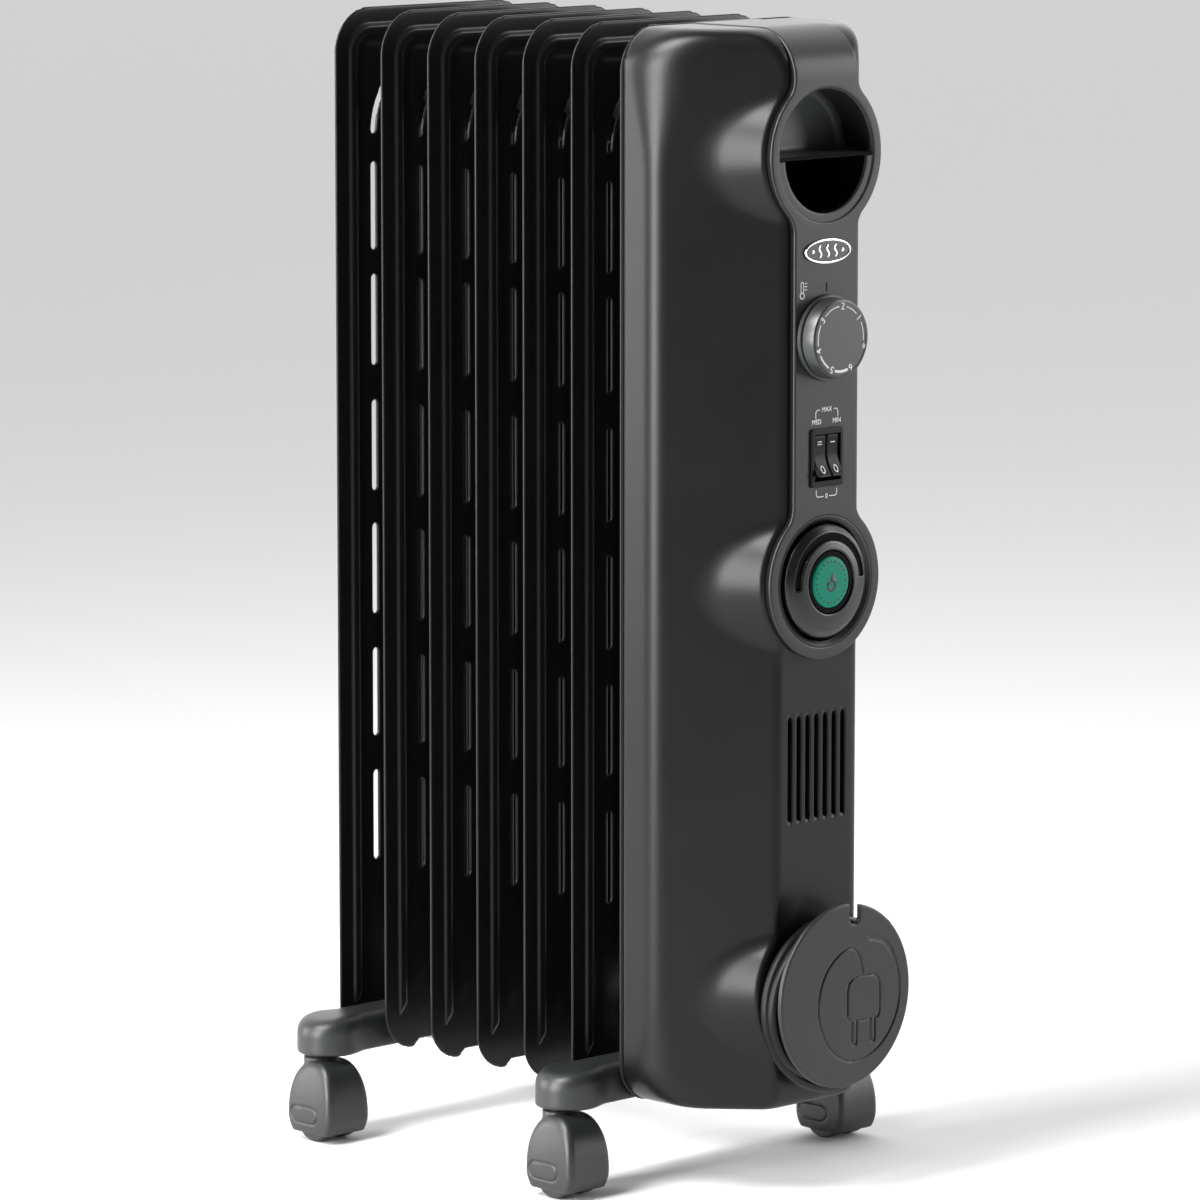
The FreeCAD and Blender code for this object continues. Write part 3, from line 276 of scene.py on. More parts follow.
def plate_mesh(name, loops, front, thickness, bevel):
    """A flat plate in the XZ plane from outlines, of which those inside another are holes."""
    curve = bpy.data.curves.new(name, "CURVE")
    curve.dimensions = "2D"
    curve.fill_mode = "BOTH"
    curve.extrude = (thickness / 2 - bevel) * MM
    curve.bevel_depth = bevel * MM
    curve.bevel_resolution = 3
    curve.offset = -bevel * MM
    for loop in loops:
        spline = curve.splines.new("POLY")
        spline.points.add(len(loop) - 1)
        for point, (x, z) in zip(spline.points, loop):
            point.co = (x * MM, z * MM, 0, 1)
        spline.use_cyclic_u = True
    mesh = mesh_of(curve)
    flat = np.zeros(len(mesh.vertices) * 3)
    mesh.vertices.foreach_get("co", flat)
    flat = flat.reshape(-1, 3)
    placed = np.stack([flat[:, 0], (front + thickness / 2) * MM - flat[:, 2], flat[:, 1]], 1)
    mesh.vertices.foreach_set("co", placed.ravel())
    mesh.materials.clear()
    clean(mesh)
    return mesh


def keep_flats(obj):
    """Flat faces shade flat beside rounded edges."""
    weigh = obj.modifiers.new("flats", "WEIGHTED_NORMAL")
    weigh.keep_sharp = True
    weigh.weight = 100
    return obj


def plate(name, loops, front, thickness, bevel, smooth_angle=50):
    return keep_flats(link(name, plate_mesh(name, loops, front, thickness, bevel), smooth_angle))


def arc(centre, radius, start, end, step=4.0):
    """Points along an arc in the XZ plane, angles in degrees from +X towards +Z."""
    count = max(2, int(abs(end - start) / step) + 1)
    turns = np.radians(np.linspace(start, end, count))
    return [(centre[0] + radius * math.cos(t), centre[1] + radius * math.sin(t)) for t in turns]


def circle(centre, radius, step=3.0):
    return arc(centre, radius, 0, 360, step)[:-1]


def mirrored(right_half):
    """A closed outline from its right half, bottom first."""
    return right_half + [(-x, z) for x, z in reversed(right_half) if x > 1e-6]


def rounded_box(centre, half_x, half_z, radius, step=10.0):
    x, z = centre
    inner_x, inner_z = half_x - radius, half_z - radius
    loop = []
    for sx, sz, start in ((1, 1, 0), (-1, 1, 90), (-1, -1, 180), (1, -1, 270)):
        loop += arc((x + sx * inner_x, z + sz * inner_z), radius, start, start + 90, step)
    return loop


def ribbon(path, width):
    """The closed outline of a stroke of the given width along a path, with round ends."""
    p = np.array(path, float)
    ahead = np.gradient(p, axis=0)
    ahead /= np.linalg.norm(ahead, axis=1)[:, None]
    side = np.stack([-ahead[:, 1], ahead[:, 0]], 1)
    left = p + side * width / 2
    right = p - side * width / 2
    tip = math.degrees(math.atan2(*ahead[-1][::-1]))
    tail = math.degrees(math.atan2(*ahead[0][::-1]))
    end_cap = arc(p[-1], width / 2, tip + 60, tip - 60, 30)
    start_cap = arc(p[0], width / 2, tail + 240, tail + 120, 30)
    return [tuple(q) for q in left] + end_cap + [tuple(q) for q in right[::-1]] + start_cap


def smooth_path(points, per_span=5):
    """A Catmull-Rom curve through points."""
    p = np.array([points[0]] + list(points) + [points[-1]], float)
    out = []
    for i in range(1, len(p) - 2):
        for t in np.arange(per_span) / per_span:
            a, b, c, d = p[i - 1:i + 3]
            out.append(0.5 * (2 * b + (c - a) * t + (2 * a - 5 * b + 4 * c - d) * t ** 2
                              + (3 * b - a - 3 * c + d) * t ** 3))
    out.append(p[-2])
    return [tuple(q) for q in out]


# ---- camera, floor and lights
def set_inputs(node, **values):
    """Set a node's inputs, whose names are written here with _ for each space."""
    for name, value in values.items():
        node.inputs[name.replace("_", " ")].default_value = value


def make_camera():
    azimuth, elevation = math.radians(-44.40), math.radians(8.36)
    back = Vector((math.sin(azimuth) * math.cos(elevation), -math.cos(azimuth) * math.cos(elevation),
                   math.sin(elevation)))
    target = Vector((-0.03535, -0.01175, 0.31868))
    data = bpy.data.cameras.new("camera")
    data.sensor_width = 36.0
    data.lens = 36.0 * 6816.64 / 1200
    data.clip_start, data.clip_end = 0.1, 60
    camera = add("camera", data)
    camera.location = target + back * 3.78996
    camera.rotation_mode = "QUATERNION"
    camera.rotation_quaternion = (-back).to_track_quat("-Z", "Y")
    bpy.context.scene.camera = camera


def softbox(name, towards, distance, width, height, power):
    """A rectangular light in the direction towards, facing the middle of the heater."""
    light = bpy.data.lights.new(name, "AREA")
    light.shape = "RECTANGLE"
    light.size, light.size_y = width, height
    light.energy = power
    light.spread = math.radians(100)
    holder = add(name, light)
    direction = Vector(towards).normalized()
    holder.location = Vector((0, 0, 0.3)) + direction * distance
    holder.rotation_mode = "QUATERNION"
    holder.rotation_quaternion = (-direction).to_track_quat("-Z", "Y")


def make_floor():
    reach = 9.0
    mesh = bpy.data.meshes.new("floor")
    mesh.from_pydata([(-reach, -reach, 0), (reach, -reach, 0), (reach, reach, 0), (-reach, reach, 0)],
                     [], [(0, 1, 2, 3)])
    floor = add("floor", mesh)
    floor.location.z = span("castor_wheels_fl")[0][2] * MM - 0.0001
    pale = bpy.data.materials.new("floor_pale")
    pale.use_nodes = True
    set_inputs(pale.node_tree.nodes["Principled BSDF"], Base_Color=(0.80, 0.80, 0.80, 1), Roughness=0.8)
    mesh.materials.append(pale)


def make_sky():
    """A sky that is bright towards the back right and dim elsewhere."""
    world = bpy.data.worlds.new("studio")
    bpy.context.scene.world = world
    world.use_nodes = True
    tree = world.node_tree
    nodes, join = tree.nodes, tree.links.new
    background = nodes["Background"]
    set_inputs(background, Color=(1.0, 1.0, 1.0, 1))
    direction = nodes.new("ShaderNodeTexCoord")
    along = nodes.new("ShaderNodeVectorMath")
    along.operation = "DOT_PRODUCT"
    along.inputs[1].default_value = (0.69, 0.69, 0.20)
    join(direction.outputs["Generated"], along.inputs[0])
    fade = nodes.new("ShaderNodeMapRange")
    set_inputs(fade, From_Min=0.1, From_Max=0.7, To_Min=0.07, To_Max=1.9)
    join(along.outputs["Value"], fade.inputs["Value"])
    join(fade.outputs["Result"], background.inputs["Strength"])


def make_lights():
    softbox("left", (-1.0, 0.04, 0.12), 2.3, 0.75, 1.9, 34)
    softbox("left_behind", (-0.66, 0.75, 0.12), 2.8, 0.9, 2.0, 20)
    softbox("upper_left", (-0.66, 0.06, 0.75), 2.2, 0.8, 1.0, 22)
    softbox("right_front", (0.78, -0.62, 0.25), 3.0, 0.8, 2.0, 13)
    bpy.context.scene.view_settings.view_transform = "Standard"


# ---- materials
def surface(name, colour, roughness, metallic=0.0, grain=0.6, bump=0.10, spread=0.12, mottle=18.0,
            specular=0.5):
    """A moulded or painted finish: mottled colour and gloss, and a fine grain that catches light.

    grain is the grain's size in millimetres, bump its strength, spread the colour's variation, and
    mottle the scale of the broad patches.
    """
    material = bpy.data.materials.new(name)
    material.use_nodes = True
    tree = material.node_tree
    nodes, join = tree.nodes, tree.links.new
    shader = nodes["Principled BSDF"]
    set_inputs(shader, Metallic=metallic, Specular_IOR_Level=specular)
    place = nodes.new("ShaderNodeTexCoord")
    fine, broad = nodes.new("ShaderNodeTexNoise"), nodes.new("ShaderNodeTexNoise")
    set_inputs(fine, Scale=1000.0 / grain, Detail=3.0)
    set_inputs(broad, Scale=mottle, Detail=4.0)
    for noise in (fine, broad):
        join(place.outputs["Object"], noise.inputs["Vector"])
    mixed = nodes.new("ShaderNodeMix")
    mixed.data_type = "FLOAT"
    set_inputs(mixed, Factor=0.55)
    join(fine.outputs["Fac"], mixed.inputs["A"])
    join(broad.outputs["Fac"], mixed.inputs["B"])
    tint = nodes.new("ShaderNodeValToRGB")
    for element, position, change in zip(tint.color_ramp.elements, (0.32, 0.68), (-spread, spread)):
        element.position = position
        element.color = (*[min(1.0, c * (1 + change)) for c in colour], 1)
    join(mixed.outputs["Result"], tint.inputs["Fac"])
    join(tint.outputs["Color"], shader.inputs["Base Color"])
    gloss = nodes.new("ShaderNodeMapRange")
    set_inputs(gloss, From_Min=0.3, From_Max=0.7, To_Min=roughness * 0.9, To_Max=min(1.0, roughness * 1.12))
    join(mixed.outputs["Result"], gloss.inputs["Value"])
    join(gloss.outputs["Result"], shader.inputs["Roughness"])
    raised = nodes.new("ShaderNodeBump")
    set_inputs(raised, Strength=bump, Distance=grain * 0.25 * MM)
    join(fine.outputs["Fac"], raised.inputs["Height"])
    join(raised.outputs["Normal"], shader.inputs["Normal"])
    return material


def make_materials():
    """Every finish by name, from its colour, its roughness and the rest of what surface takes."""
    finishes = [
        ("fin_enamel", (0.0065, 0.0065, 0.0072), 0.30,
         dict(grain=1.6, bump=0.06, spread=0.10, specular=0.30)),
        ("cover_shell", (0.0050, 0.0052, 0.0056), 0.31,
         dict(grain=0.45, bump=0.16, spread=0.16, specular=0.24)),
        ("panel_satin", (0.0165, 0.0175, 0.0172), 0.36,
         dict(grain=0.4, bump=0.08, spread=0.08, specular=0.36)),
        # painted light: a paler copy of the panel's satin, for the lit shelf and back wall of the handle
        # pocket
        ("pocket_painted_light", (0.075, 0.080, 0.080), 0.45, dict(grain=0.4, bump=0.08)),
        ("knob_satin", (0.022, 0.0235, 0.0235), 0.32, dict(grain=0.4, bump=0.06, spread=0.08)),
        ("black_plastic", (0.005, 0.005, 0.0055), 0.26, dict(grain=0.5, bump=0.06)),
        ("switch_black", (0.0025, 0.0025, 0.0028), 0.34, dict(grain=0.5, bump=0.06, specular=0.16)),
        ("gasket_rubber", (0.002, 0.002, 0.002), 0.80, dict(grain=0.8, bump=0.2, specular=0.12)),
        ("galvanised_sheet", (0.42, 0.43, 0.44), 0.42,
         dict(metallic=1.0, grain=6.0, bump=0.05, spread=0.2, mottle=70.0)),
        ("bright_steel", (0.60, 0.60, 0.61), 0.26, dict(metallic=1.0, grain=0.5, bump=0.05, spread=0.06)),
        ("badge_metal", (0.80, 0.80, 0.80), 0.18, dict(metallic=1.0, grain=0.5, bump=0.03, spread=0.03)),
        ("lens_green", (0.001, 0.215, 0.135), 0.42, dict(grain=0.35, bump=0.10, spread=0.07, specular=0.15)),
        ("circuit_board", (0.02, 0.14, 0.05), 0.45, dict(grain=1.2, bump=0.1)),
        ("wire_sleeve", (0.30, 0.03, 0.02), 0.5, dict(grain=0.8, bump=0.1)),
        ("cord_sheath", (0.004, 0.004, 0.0045), 0.42, dict(grain=0.5, bump=0.12, specular=0.22)),
        ("foot_plastic", (0.016, 0.017, 0.0175), 0.38, dict(grain=0.6, bump=0.6, spread=0.18)),
        ("wheel_plastic", (0.012, 0.012, 0.013), 0.5, dict(grain=0.6, bump=0.2)),
        ("ink", (0.75, 0.76, 0.76), 0.55, dict(grain=0.3, bump=0.05, spread=0.04)),
    ]
    return {name: surface(name, colour, roughness, **rest) for name, colour, roughness, rest in finishes}


def finish_piece(obj, slot_name, body=ROOT, replaces=(), material=None):
    """Give a new piece the finish of its record slot, or of material, and the body that it rides on, and hide
    the parts it replaces.
    """
    obj.data.materials.clear()
    obj.data.materials.append(FINISH[material or slot_name])
    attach(obj, body)
    if replaces:
        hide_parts(*replaces)
    return obj


def finish_cad_nodes():
    """Carried-over CAD nodes get the finish of their own slot."""
    for row in frame["record"]["subparts"]:
        node = frame["nodes"][row["node"]]
        node.data.materials.clear()
        name = "switch_black" if row["node"] == "switch_frame" else row["material_slot"]
        node.data.materials.append(FINISH[name])


# ---- mains cord on the winder
CORD_R = 3.25
CORD_EXIT = (-11.0, -156.0, 97.2)
# From the coil to the plug, by the same points as in the part's source.
CORD_TAIL = [(27.0, -157.0, 139.5), (39.0, -154.5, 143.5), (51.0, -149.0, 144.0),
             (58.5, -144.5, 137.0), (60.0, -143.0, 125.0)]
FIRST_ANGLE = 262.0             # of the coil, clockwise from the top, seen from the front
LAST_ANGLE = 8 * 360.0 + 30.0
ANGLE_STEP = 24.0
INNER_HALF = 25.6
OUTER_HALF_X, OUTER_HALF_Z = 42.4, 46.6
OUTER_SAG = 6.0
SLACK = 7.5                     # how far the outer turns hang out on the left
BACK_LANE, FRONT_LANE = -152.7, -160.9      # y of the turns that lie side by side


def coil_point(angle):
    """A point of the wound cord: pairs of turns side by side, each pair outside the last one."""
    turns = (angle - FIRST_ANGLE) / 360.0
    total = (LAST_ANGLE - FIRST_ANGLE) / 360.0
    pair = math.floor(turns / 2)
    within = turns - 2 * pair
    share = (pair + float(ramp(within, 1.7, 2.0))) / math.floor(total / 2)
    share = min(share, 1.0)
    half_x = INNER_HALF + (OUTER_HALF_X - INNER_HALF) * share
    half_z = INNER_HALF + (OUTER_HALF_Z - INNER_HALF) * share
    across = float(ramp(within, 0.55, 1.25))
    lane = across if pair % 2 == 0 else 1 - across
    y = BACK_LANE + (FRONT_LANE - BACK_LANE) * lane + 0.9 * math.sin(2.3 * turns)
    turn = math.radians(angle)
    slack = SLACK * share ** 2 * max(0.0, -math.sin(turn)) ** 1.5
    return (half_x * math.sin(turn) - slack, y, WINDER_Z - OUTER_SAG * share + half_z * math.cos(turn))


def cord_points():
    points = [CORD_EXIT, (-15.0, -156.0, 97.2), (-20.0, -155.0, 98.4)]
    angle = FIRST_ANGLE
    while angle <= LAST_ANGLE:
        points.append(coil_point(angle))
        angle += ANGLE_STEP
    return points + CORD_TAIL[1:]


def make_cord():
    curve = bpy.data.curves.new("mains_cord", "CURVE")
    curve.dimensions = "3D"
    curve.resolution_u = 6
    curve.bevel_depth = CORD_R * MM
    curve.bevel_resolution = 5
    curve.use_fill_caps = True
    spline = curve.splines.new("NURBS")
    points = cord_points()
    spline.points.add(len(points) - 1)
    for point, place in zip(spline.points, points):
        point.co = (place[0] * MM, place[1] * MM, place[2] * MM, 1)
    spline.order_u = 3
    spline.use_endpoint_u = True
    return add("mains_cord", curve)


# ---- cover
def cover_body(x, y, z):
    """The cover without its holes: box, sloped shoulders, rounded top, and three flares."""
    side = np.abs(x)
    mid_z, half_z = (TOP_Z + BASE_Z) / 2, (TOP_Z - BASE_Z) / 2
    outline = rounded_corner(side - COVER_HALF, np.abs(z - mid_z) - half_z, COVER_CORNER)
    run_x, run_y = COVER_HALF - SLOPE_END[0], RIDGE_Y - SLOPE_END[1]
    body = (run_y * (side - COVER_HALF) - run_x * (y - RIDGE_Y)) / math.hypot(run_x, run_y)
    flare_front = SLOPE_END[1] + 0.6 - y
    from_flares = [np.hypot(x, z - centre) for centre in (HANDLE_Z, COMFORT_Z, WINDER_Z)]
    for r in from_flares:
        cone = (r - RING_R - FLARE_SLOPE * (y - SLOPE_END[1])) / math.hypot(1, FLARE_SLOPE)
        body = smooth_min(body, smooth_max(cone, flare_front, 4.0), 3.0)
    seat = SEAT_Y + (LOWER_FRONT_Y - SEAT_Y) * (1 - ramp(z, 296, 312))
    profile = np.maximum(rounded_corner(seat - y, z - TOP_Z, TOP_BEND_R),
                         rounded_corner(seat - y, BASE_Z - z, 10.0))
    flared = np.maximum(rounded_corner(flare_front, z - TOP_Z, TOP_BEND_R), seat - y)
    by_flare = np.minimum.reduce(from_flares) < FLARE_REACH
    profile = np.where(by_flare, np.minimum(profile, flared), profile)
    edge = 5.0 + 8.0 * ramp(z, 560, 625) + 4.0 * (1 - ramp(z, 60, 110))
    return smooth_max(smooth_max(body, outline, edge), profile, 2.5)


def cover_distance(x, y, z):
    """The cover's shell, with its holes cut through the front only."""
    outer = cover_body(x, y, z)
    thickness = WALL + 1.2 * ramp(-y, 85, 97)
    shell = np.maximum(np.maximum(outer, -(outer + thickness)), y - COVER_HIGH[1])
    holes = [np.hypot(x, z - HANDLE_Z) - GRIP_R - 0.3, np.hypot(x, z - COMFORT_Z) - 33.0,
             np.hypot(x, z - KNOB_Z) - 5.6,
             np.maximum(np.abs(x) - 10.95, np.abs(z - SWITCH_Z) - 14.6)]
    holes += [stadium(x - k * VENT_PITCH, z - VENT_Z, 26.85, 1.65) for k in range(-3, 4)]
    for hole in holes:
        shell = smooth_max(shell, -np.maximum(hole, y + 110), 0.5)
    return shell


def make_cover():
    """The shell, on a grid that is close at the vents and at the front."""
    xs = lines(-77, 78, 1.9, [(-23.6, 23.6, 0.55)])
    ys = lines(-151, -69, 1.9, [(-150, -140, 0.7)])
    cover = link("cover", skin("cover", cover_distance, xs, ys, lines(45.5, 643, 2.0)))
    finish_piece(cover, "cover_shell", replaces=["control_cover"])


# ---- control strip
def facia_outline():
    """The strip's outline laid flat, with its top unrolled upwards."""
    touch = math.degrees(math.acos((STRIP_HALF + NECK_FILLET) / (RING_R + NECK_FILLET)))
    rise = math.sqrt((RING_R + NECK_FILLET) ** 2 - (STRIP_HALF + NECK_FILLET) ** 2)
    neck_x = STRIP_HALF + NECK_FILLET
    bend_z = PANEL_HIGH[2] - BEND_R
    unrolled = bend_z + BEND_R * math.pi / 2 + (PANEL_HIGH[1] - (PANEL_FRONT + BEND_R))
    half = arc((0, COMFORT_Z), RING_R, -90, touch, 2.0)
    half += arc((neck_x, COMFORT_Z + rise), NECK_FILLET, 180 + touch, 180)[1:]
    half += arc((neck_x, HANDLE_Z - rise), NECK_FILLET, 180, 180 - touch)
    half += arc((0, HANDLE_Z), RING_R, -touch, touch, 2.0)[1:]
    half += arc((neck_x, HANDLE_Z + rise), NECK_FILLET, 180 + touch, 180)[1:]
    half += [(STRIP_HALF, unrolled)]
    return mirrored(half)


def fold_back(mesh):
    """Roll the part of the flat strip above the bend back over the cover's top."""
    bend_z = PANEL_HIGH[2] - BEND_R
    centre_y = PANEL_FRONT + BEND_R
    bm = bmesh.new()
    bm.from_mesh(mesh)
    steps = 24
    for k in range(steps + 1):
        level = (bend_z + BEND_R * math.pi / 2 * k / steps) * MM
        bmesh.ops.bisect_plane(bm, geom=bm.verts[:] + bm.edges[:] + bm.faces[:], dist=1e-7,
                               plane_co=(0, 0, level), plane_no=(0, 0, 1))
    for vert in bm.verts:
        past = vert.co.z / MM - bend_z
        if past <= 0:
            continue
        depth = vert.co.y / MM - PANEL_FRONT
        angle = min(past / BEND_R, math.pi / 2)
        extra = past - BEND_R * math.pi / 2 if angle >= math.pi / 2 else 0.0
        radius = BEND_R - depth
        vert.co.y = (centre_y - radius * math.cos(angle) + extra) * MM
        vert.co.z = (bend_z + radius * math.sin(angle)) * MM
    bm.normal_update()
    bm.to_mesh(mesh)
    bm.free()


def make_facia():
    holes = [circle((0, HANDLE_Z), 36.2), circle((0, COMFORT_Z), 35.9), circle((0, KNOB_Z), 5.2, 8),
             rounded_box((0, SWITCH_Z), 11.3, 14.9, 0.8)]
    mesh = plate_mesh("facia", [facia_outline()] + holes, PANEL_FRONT, SEAT_Y + 0.3 - PANEL_FRONT,
                      STRIP_BEVEL)
    # The strip's side walls behind its rounded front edge get near-black rubber: painted shade in the groove
    # between the strip and the cover.
    mesh.materials.append(FINISH["panel_satin"])
    mesh.materials.append(FINISH["gasket_rubber"])
    for face in mesh.polygons:
        deep = face.center.y / MM > PANEL_FRONT + STRIP_BEVEL
        face.material_index = 1 if deep and abs(face.normal.y) < 0.5 else 0
    fold_back(mesh)
    facia = keep_flats(link("facia", mesh, 50))
    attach(facia, ROOT)
    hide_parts("control_panel")


# ---- handle recess
def recess_distance(x, y, z):
    """The grip's cup: an upper pocket over a shelf, and a deep finger hole that turns up behind it."""
    r, deep = np.hypot(x, z - HANDLE_Z), y - PANEL_FRONT
    shelf_low = HANDLE_Z - SHELF_THICKNESS
    cup = smooth_max(r - GRIP_R, np.maximum(0.8 - deep, deep - CAVITY_DEPTH - 2.5), 0.8)
    pocket = smooth_max(smooth_max(r - 35.6, HANDLE_Z - z, 2.0), deep - POCKET_DEPTH, 4.0)
    behind = np.maximum(np.maximum(r - 36.0, shelf_low - z), POCKET_DEPTH + 2.5 - deep)
    cavity = smooth_max(smooth_max(r - 31.5, z - shelf_low, 1.0), deep - CAVITY_DEPTH, 4.0)
    for void in (pocket, behind, cavity):
        cup = smooth_max(cup, -void, 0.8)
    return cup


def make_recess():
    """The cup, with painted shade in the finger hole and on the shelf's front edge, which get near-black
    rubber, and painted light on the shelf and the back of the pocket, which get a paler satin.
    """
    reach = GRIP_R + 1.5
    mesh = skin("handle_cup", recess_distance, lines(-reach, reach, 0.8),
                lines(PANEL_FRONT - 1, PANEL_FRONT + 50, 1.1), lines(HANDLE_Z - reach, HANDLE_Z + reach, 0.8))
    finish_piece(link("handle_cup", mesh), "panel_satin", replaces=["handle_recess"])
    # painted shade: near-black rubber in the finger hole and on the shelf's front edge
    mesh.materials.append(FINISH["gasket_rubber"])
    # painted light: the paler satin on the shelf and the back of the pocket
    mesh.materials.append(FINISH["pocket_painted_light"])
    for face in mesh.polygons:
        x, y, z = face.center / MM
        up, deep = z - HANDLE_Z, y - PANEL_FRONT
        hole = math.hypot(x, up) < 31.8 and up < -1.9 and deep > 1.5
        edge = abs(up + 1.2) < 1.0 and deep < 3.0
        shelf = abs(up) < 0.4 and deep > 4.0
        rear = up > -0.4 and deep > 21.0
        # index 1 is painted shade (near-black rubber), index 2 is painted light (paler satin)
        face.material_index = 1 if hole or edge else 2 if shelf or rear else 0


# ---- printed marks and badge
def text_mesh(name, words, size, place, turn=0.0):
    """Printed letters on a face at y place[2], centred on (place[0], place[1]), turned clockwise."""
    curve = bpy.data.curves.new(name, "FONT")
    curve.body = words
    curve.size = size * MM
    curve.align_x = "CENTER"
    curve.align_y = "CENTER"
    curve.extrude = 0.03 * MM
    curve.offset = 0.05 * MM
    curve.resolution_u = 4
    mesh = mesh_of(curve)
    angle = math.radians(turn)
    for vert in mesh.vertices:
        a, b, out = vert.co / MM
        x = a * math.cos(angle) + b * math.sin(angle)
        z = -a * math.sin(angle) + b * math.cos(angle)
        vert.co = Vector((place[0] + x, place[2] - 0.04 - out, place[1] + z)) * MM
    return mesh


def join_meshes(name, meshes):
    bm = bmesh.new()
    for mesh in meshes:
        bm.from_mesh(mesh)
    joined = bpy.data.meshes.new(name)
    bm.to_mesh(joined)
    bm.free()
    return joined


def printed(name, meshes, body=ROOT):
    """One white piece from many marks."""
    obj = link(name, join_meshes(name, meshes), 40)
    return finish_piece(obj, None, body, material="ink")


def stroke(path, width, front):
    """A printed line along a path, on a face at y front."""
    return plate_mesh("stroke", [ribbon(path, width)], front - 0.06, 0.1, 0.02)


def clock_point(radius, angle, centre_z):
    """The point (x, z) at an angle in degrees, clockwise from the top of a circle at X 0."""
    turn = math.radians(angle)
    return radius * math.sin(turn), centre_z + radius * math.cos(turn)


def switch_marks(front):
    middle_x = 0.6
    marks = [text_mesh("med", "MED", 3.7, (middle_x - 8.0, SWITCH_Z + 19.5, front)),
             text_mesh("min", "MIN", 3.7, (middle_x + 7.8, SWITCH_Z + 19.5, front)),
             text_mesh("max", "MAX", 3.7, (middle_x, SWITCH_Z + 26.0, front)),
             text_mesh("off", "0", 3.8, (middle_x, SWITCH_Z - 21.4, front))]
    upper = [(8.6, 21.6), (8.6, 24.6), (7.6, 26.0), (5.6, 26.0)]
    lower = [(8.0, -17.8), (8.0, -20.0), (6.8, -21.4), (2.4, -21.4)]
    for side in (-1, 1):
        for corners in (upper, lower):
            path = [(side * x + middle_x, SWITCH_Z + z) for x, z in corners]
            marks.append(stroke(smooth_path(path, 4), 0.5, front))
    return marks


def thermometer_marks(front):
    x, z = bulb = (-19.0, KNOB_Z + 23.8)
    rings = [circle(bulb, 1.9, 15), circle(bulb, 1.3, 20)]
    tube = [(x - 1.0, z + 2.0), (x - 1.0, z + 6.2)]
    tube += arc((x, z + 6.4), 1.0, 180, 0, 30) + [(x + 1.0, z + 2.0)]
    marks = [plate_mesh("bulb", rings, front - 0.06, 0.1, 0.02), stroke(tube, 0.45, front)]
    for rise in (3.2, 4.9, 6.6):
        marks.append(stroke([(x + reach, z + rise) for reach in (2.0, 2.8, 3.6)], 0.45, front))
    return marks


def make_strip_marks():
    printed("strip_marks", switch_marks(PANEL_FRONT) + thermometer_marks(PANEL_FRONT))
    tick = stroke([(0, KNOB_Z + rise) for rise in (25.4, 27.4, 29.4)], 0.9, PANEL_FRONT)
    finish_piece(keep_flats(link("pointer", tick, 40)), None, material="gasket_rubber")


def ellipse(half_x, half_z, centre, step=5.0):
    turns = np.radians(np.arange(0, 360, step))
    return [(centre[0] + half_x * math.cos(t), centre[1] + half_z * math.sin(t)) for t in turns]


def make_badge():
    low, high = span("badge")
    half_x, half_z = high[0], (high[2] - low[2]) / 2
    centre = (0.0, BADGE_Z)
    rim = plate("badge_rim", [ellipse(half_x, half_z, centre), ellipse(half_x - 1.3, half_z - 1.3, centre)],
                low[1], 1.2, 0.45)
    finish_piece(rim, "badge_metal", replaces=["badge"])
    field = plate("badge_field", [ellipse(half_x - 1.2, half_z - 1.2, centre)], low[1] + 0.5, 0.7, 0.1)
    finish_piece(field, None, material="black_plastic")
    waves = []
    for x in (-6.0, 0.0, 6.0):
        path = [(x + 0.9 * math.sin(t * math.pi / 3), BADGE_Z - 3.0 + t) for t in np.linspace(0, 6, 13)]
        waves.append(plate_mesh("wave", [ribbon(path, 1.0)], low[1] + 0.3, 0.35, 0.1))
    for x in (-11.5, 11.5):
        waves.append(plate_mesh("dot", [circle((x, BADGE_Z), 1.0, 15)], low[1] + 0.3, 0.35, 0.1))
    heat = keep_flats(link("badge_waves", join_meshes("badge_waves", waves), 40))
    finish_piece(heat, "badge_metal")


# ---- thermostat knob
KNOB_MARKS = [("*", 106.0), ("1", 53.0), ("2", 5.0), ("3", -52.0), ("4", -108.0), ("5", -157.0),
              ("6", -206.0)]
KNOB_MARK_R = 17.7
ARC_WIDTHS = (0.45, 0.5, 0.55, 0.7, 1.0, 1.5)   # of the arcs between the marks, wider towards 6


def make_knob():
    face_y, back_y = span("thermostat_knob")[0][1], PANEL_FRONT - 0.3
    front = face_y + 0.25
    profile = [(0, front), (19.6, front), (20.0, face_y), (20.7, face_y + 0.05),
               (21.25, face_y + 0.35), (21.55, face_y + 0.95), (22.2, face_y + 7.6), (21.9, face_y + 7.9),
               (20.6, face_y + 8.0), (20.6, back_y - 2.7), (23.0, back_y - 2.6), (23.4, back_y - 2.2),
               (23.5, back_y - 0.3), (23.2, back_y), (3.2, back_y), (3.2, face_y + 3.0), (0, face_y + 3.0)]
    knob = turned("knob", profile, (0, KNOB_Z), 128, 28)
    finish_piece(knob, "knob_satin", "knob", ["thermostat_knob"])
    marks = []
    for word, angle in KNOB_MARKS:
        size = 7.4 if word == "*" else 5.8
        marks.append(text_mesh("mark", word, size, (*clock_point(KNOB_MARK_R, angle, KNOB_Z), front), angle))
    for (_, start), (_, end), width in zip(KNOB_MARKS, KNOB_MARKS[1:], ARC_WIDTHS):
        angles = np.linspace(start - 10.0, end + 10.0, 12)
        marks.append(stroke([clock_point(KNOB_MARK_R, angle, KNOB_Z) for angle in angles], width, front))
    printed("knob_marks", marks, "knob")


# ---- switches
PIVOT_Y = -147.1


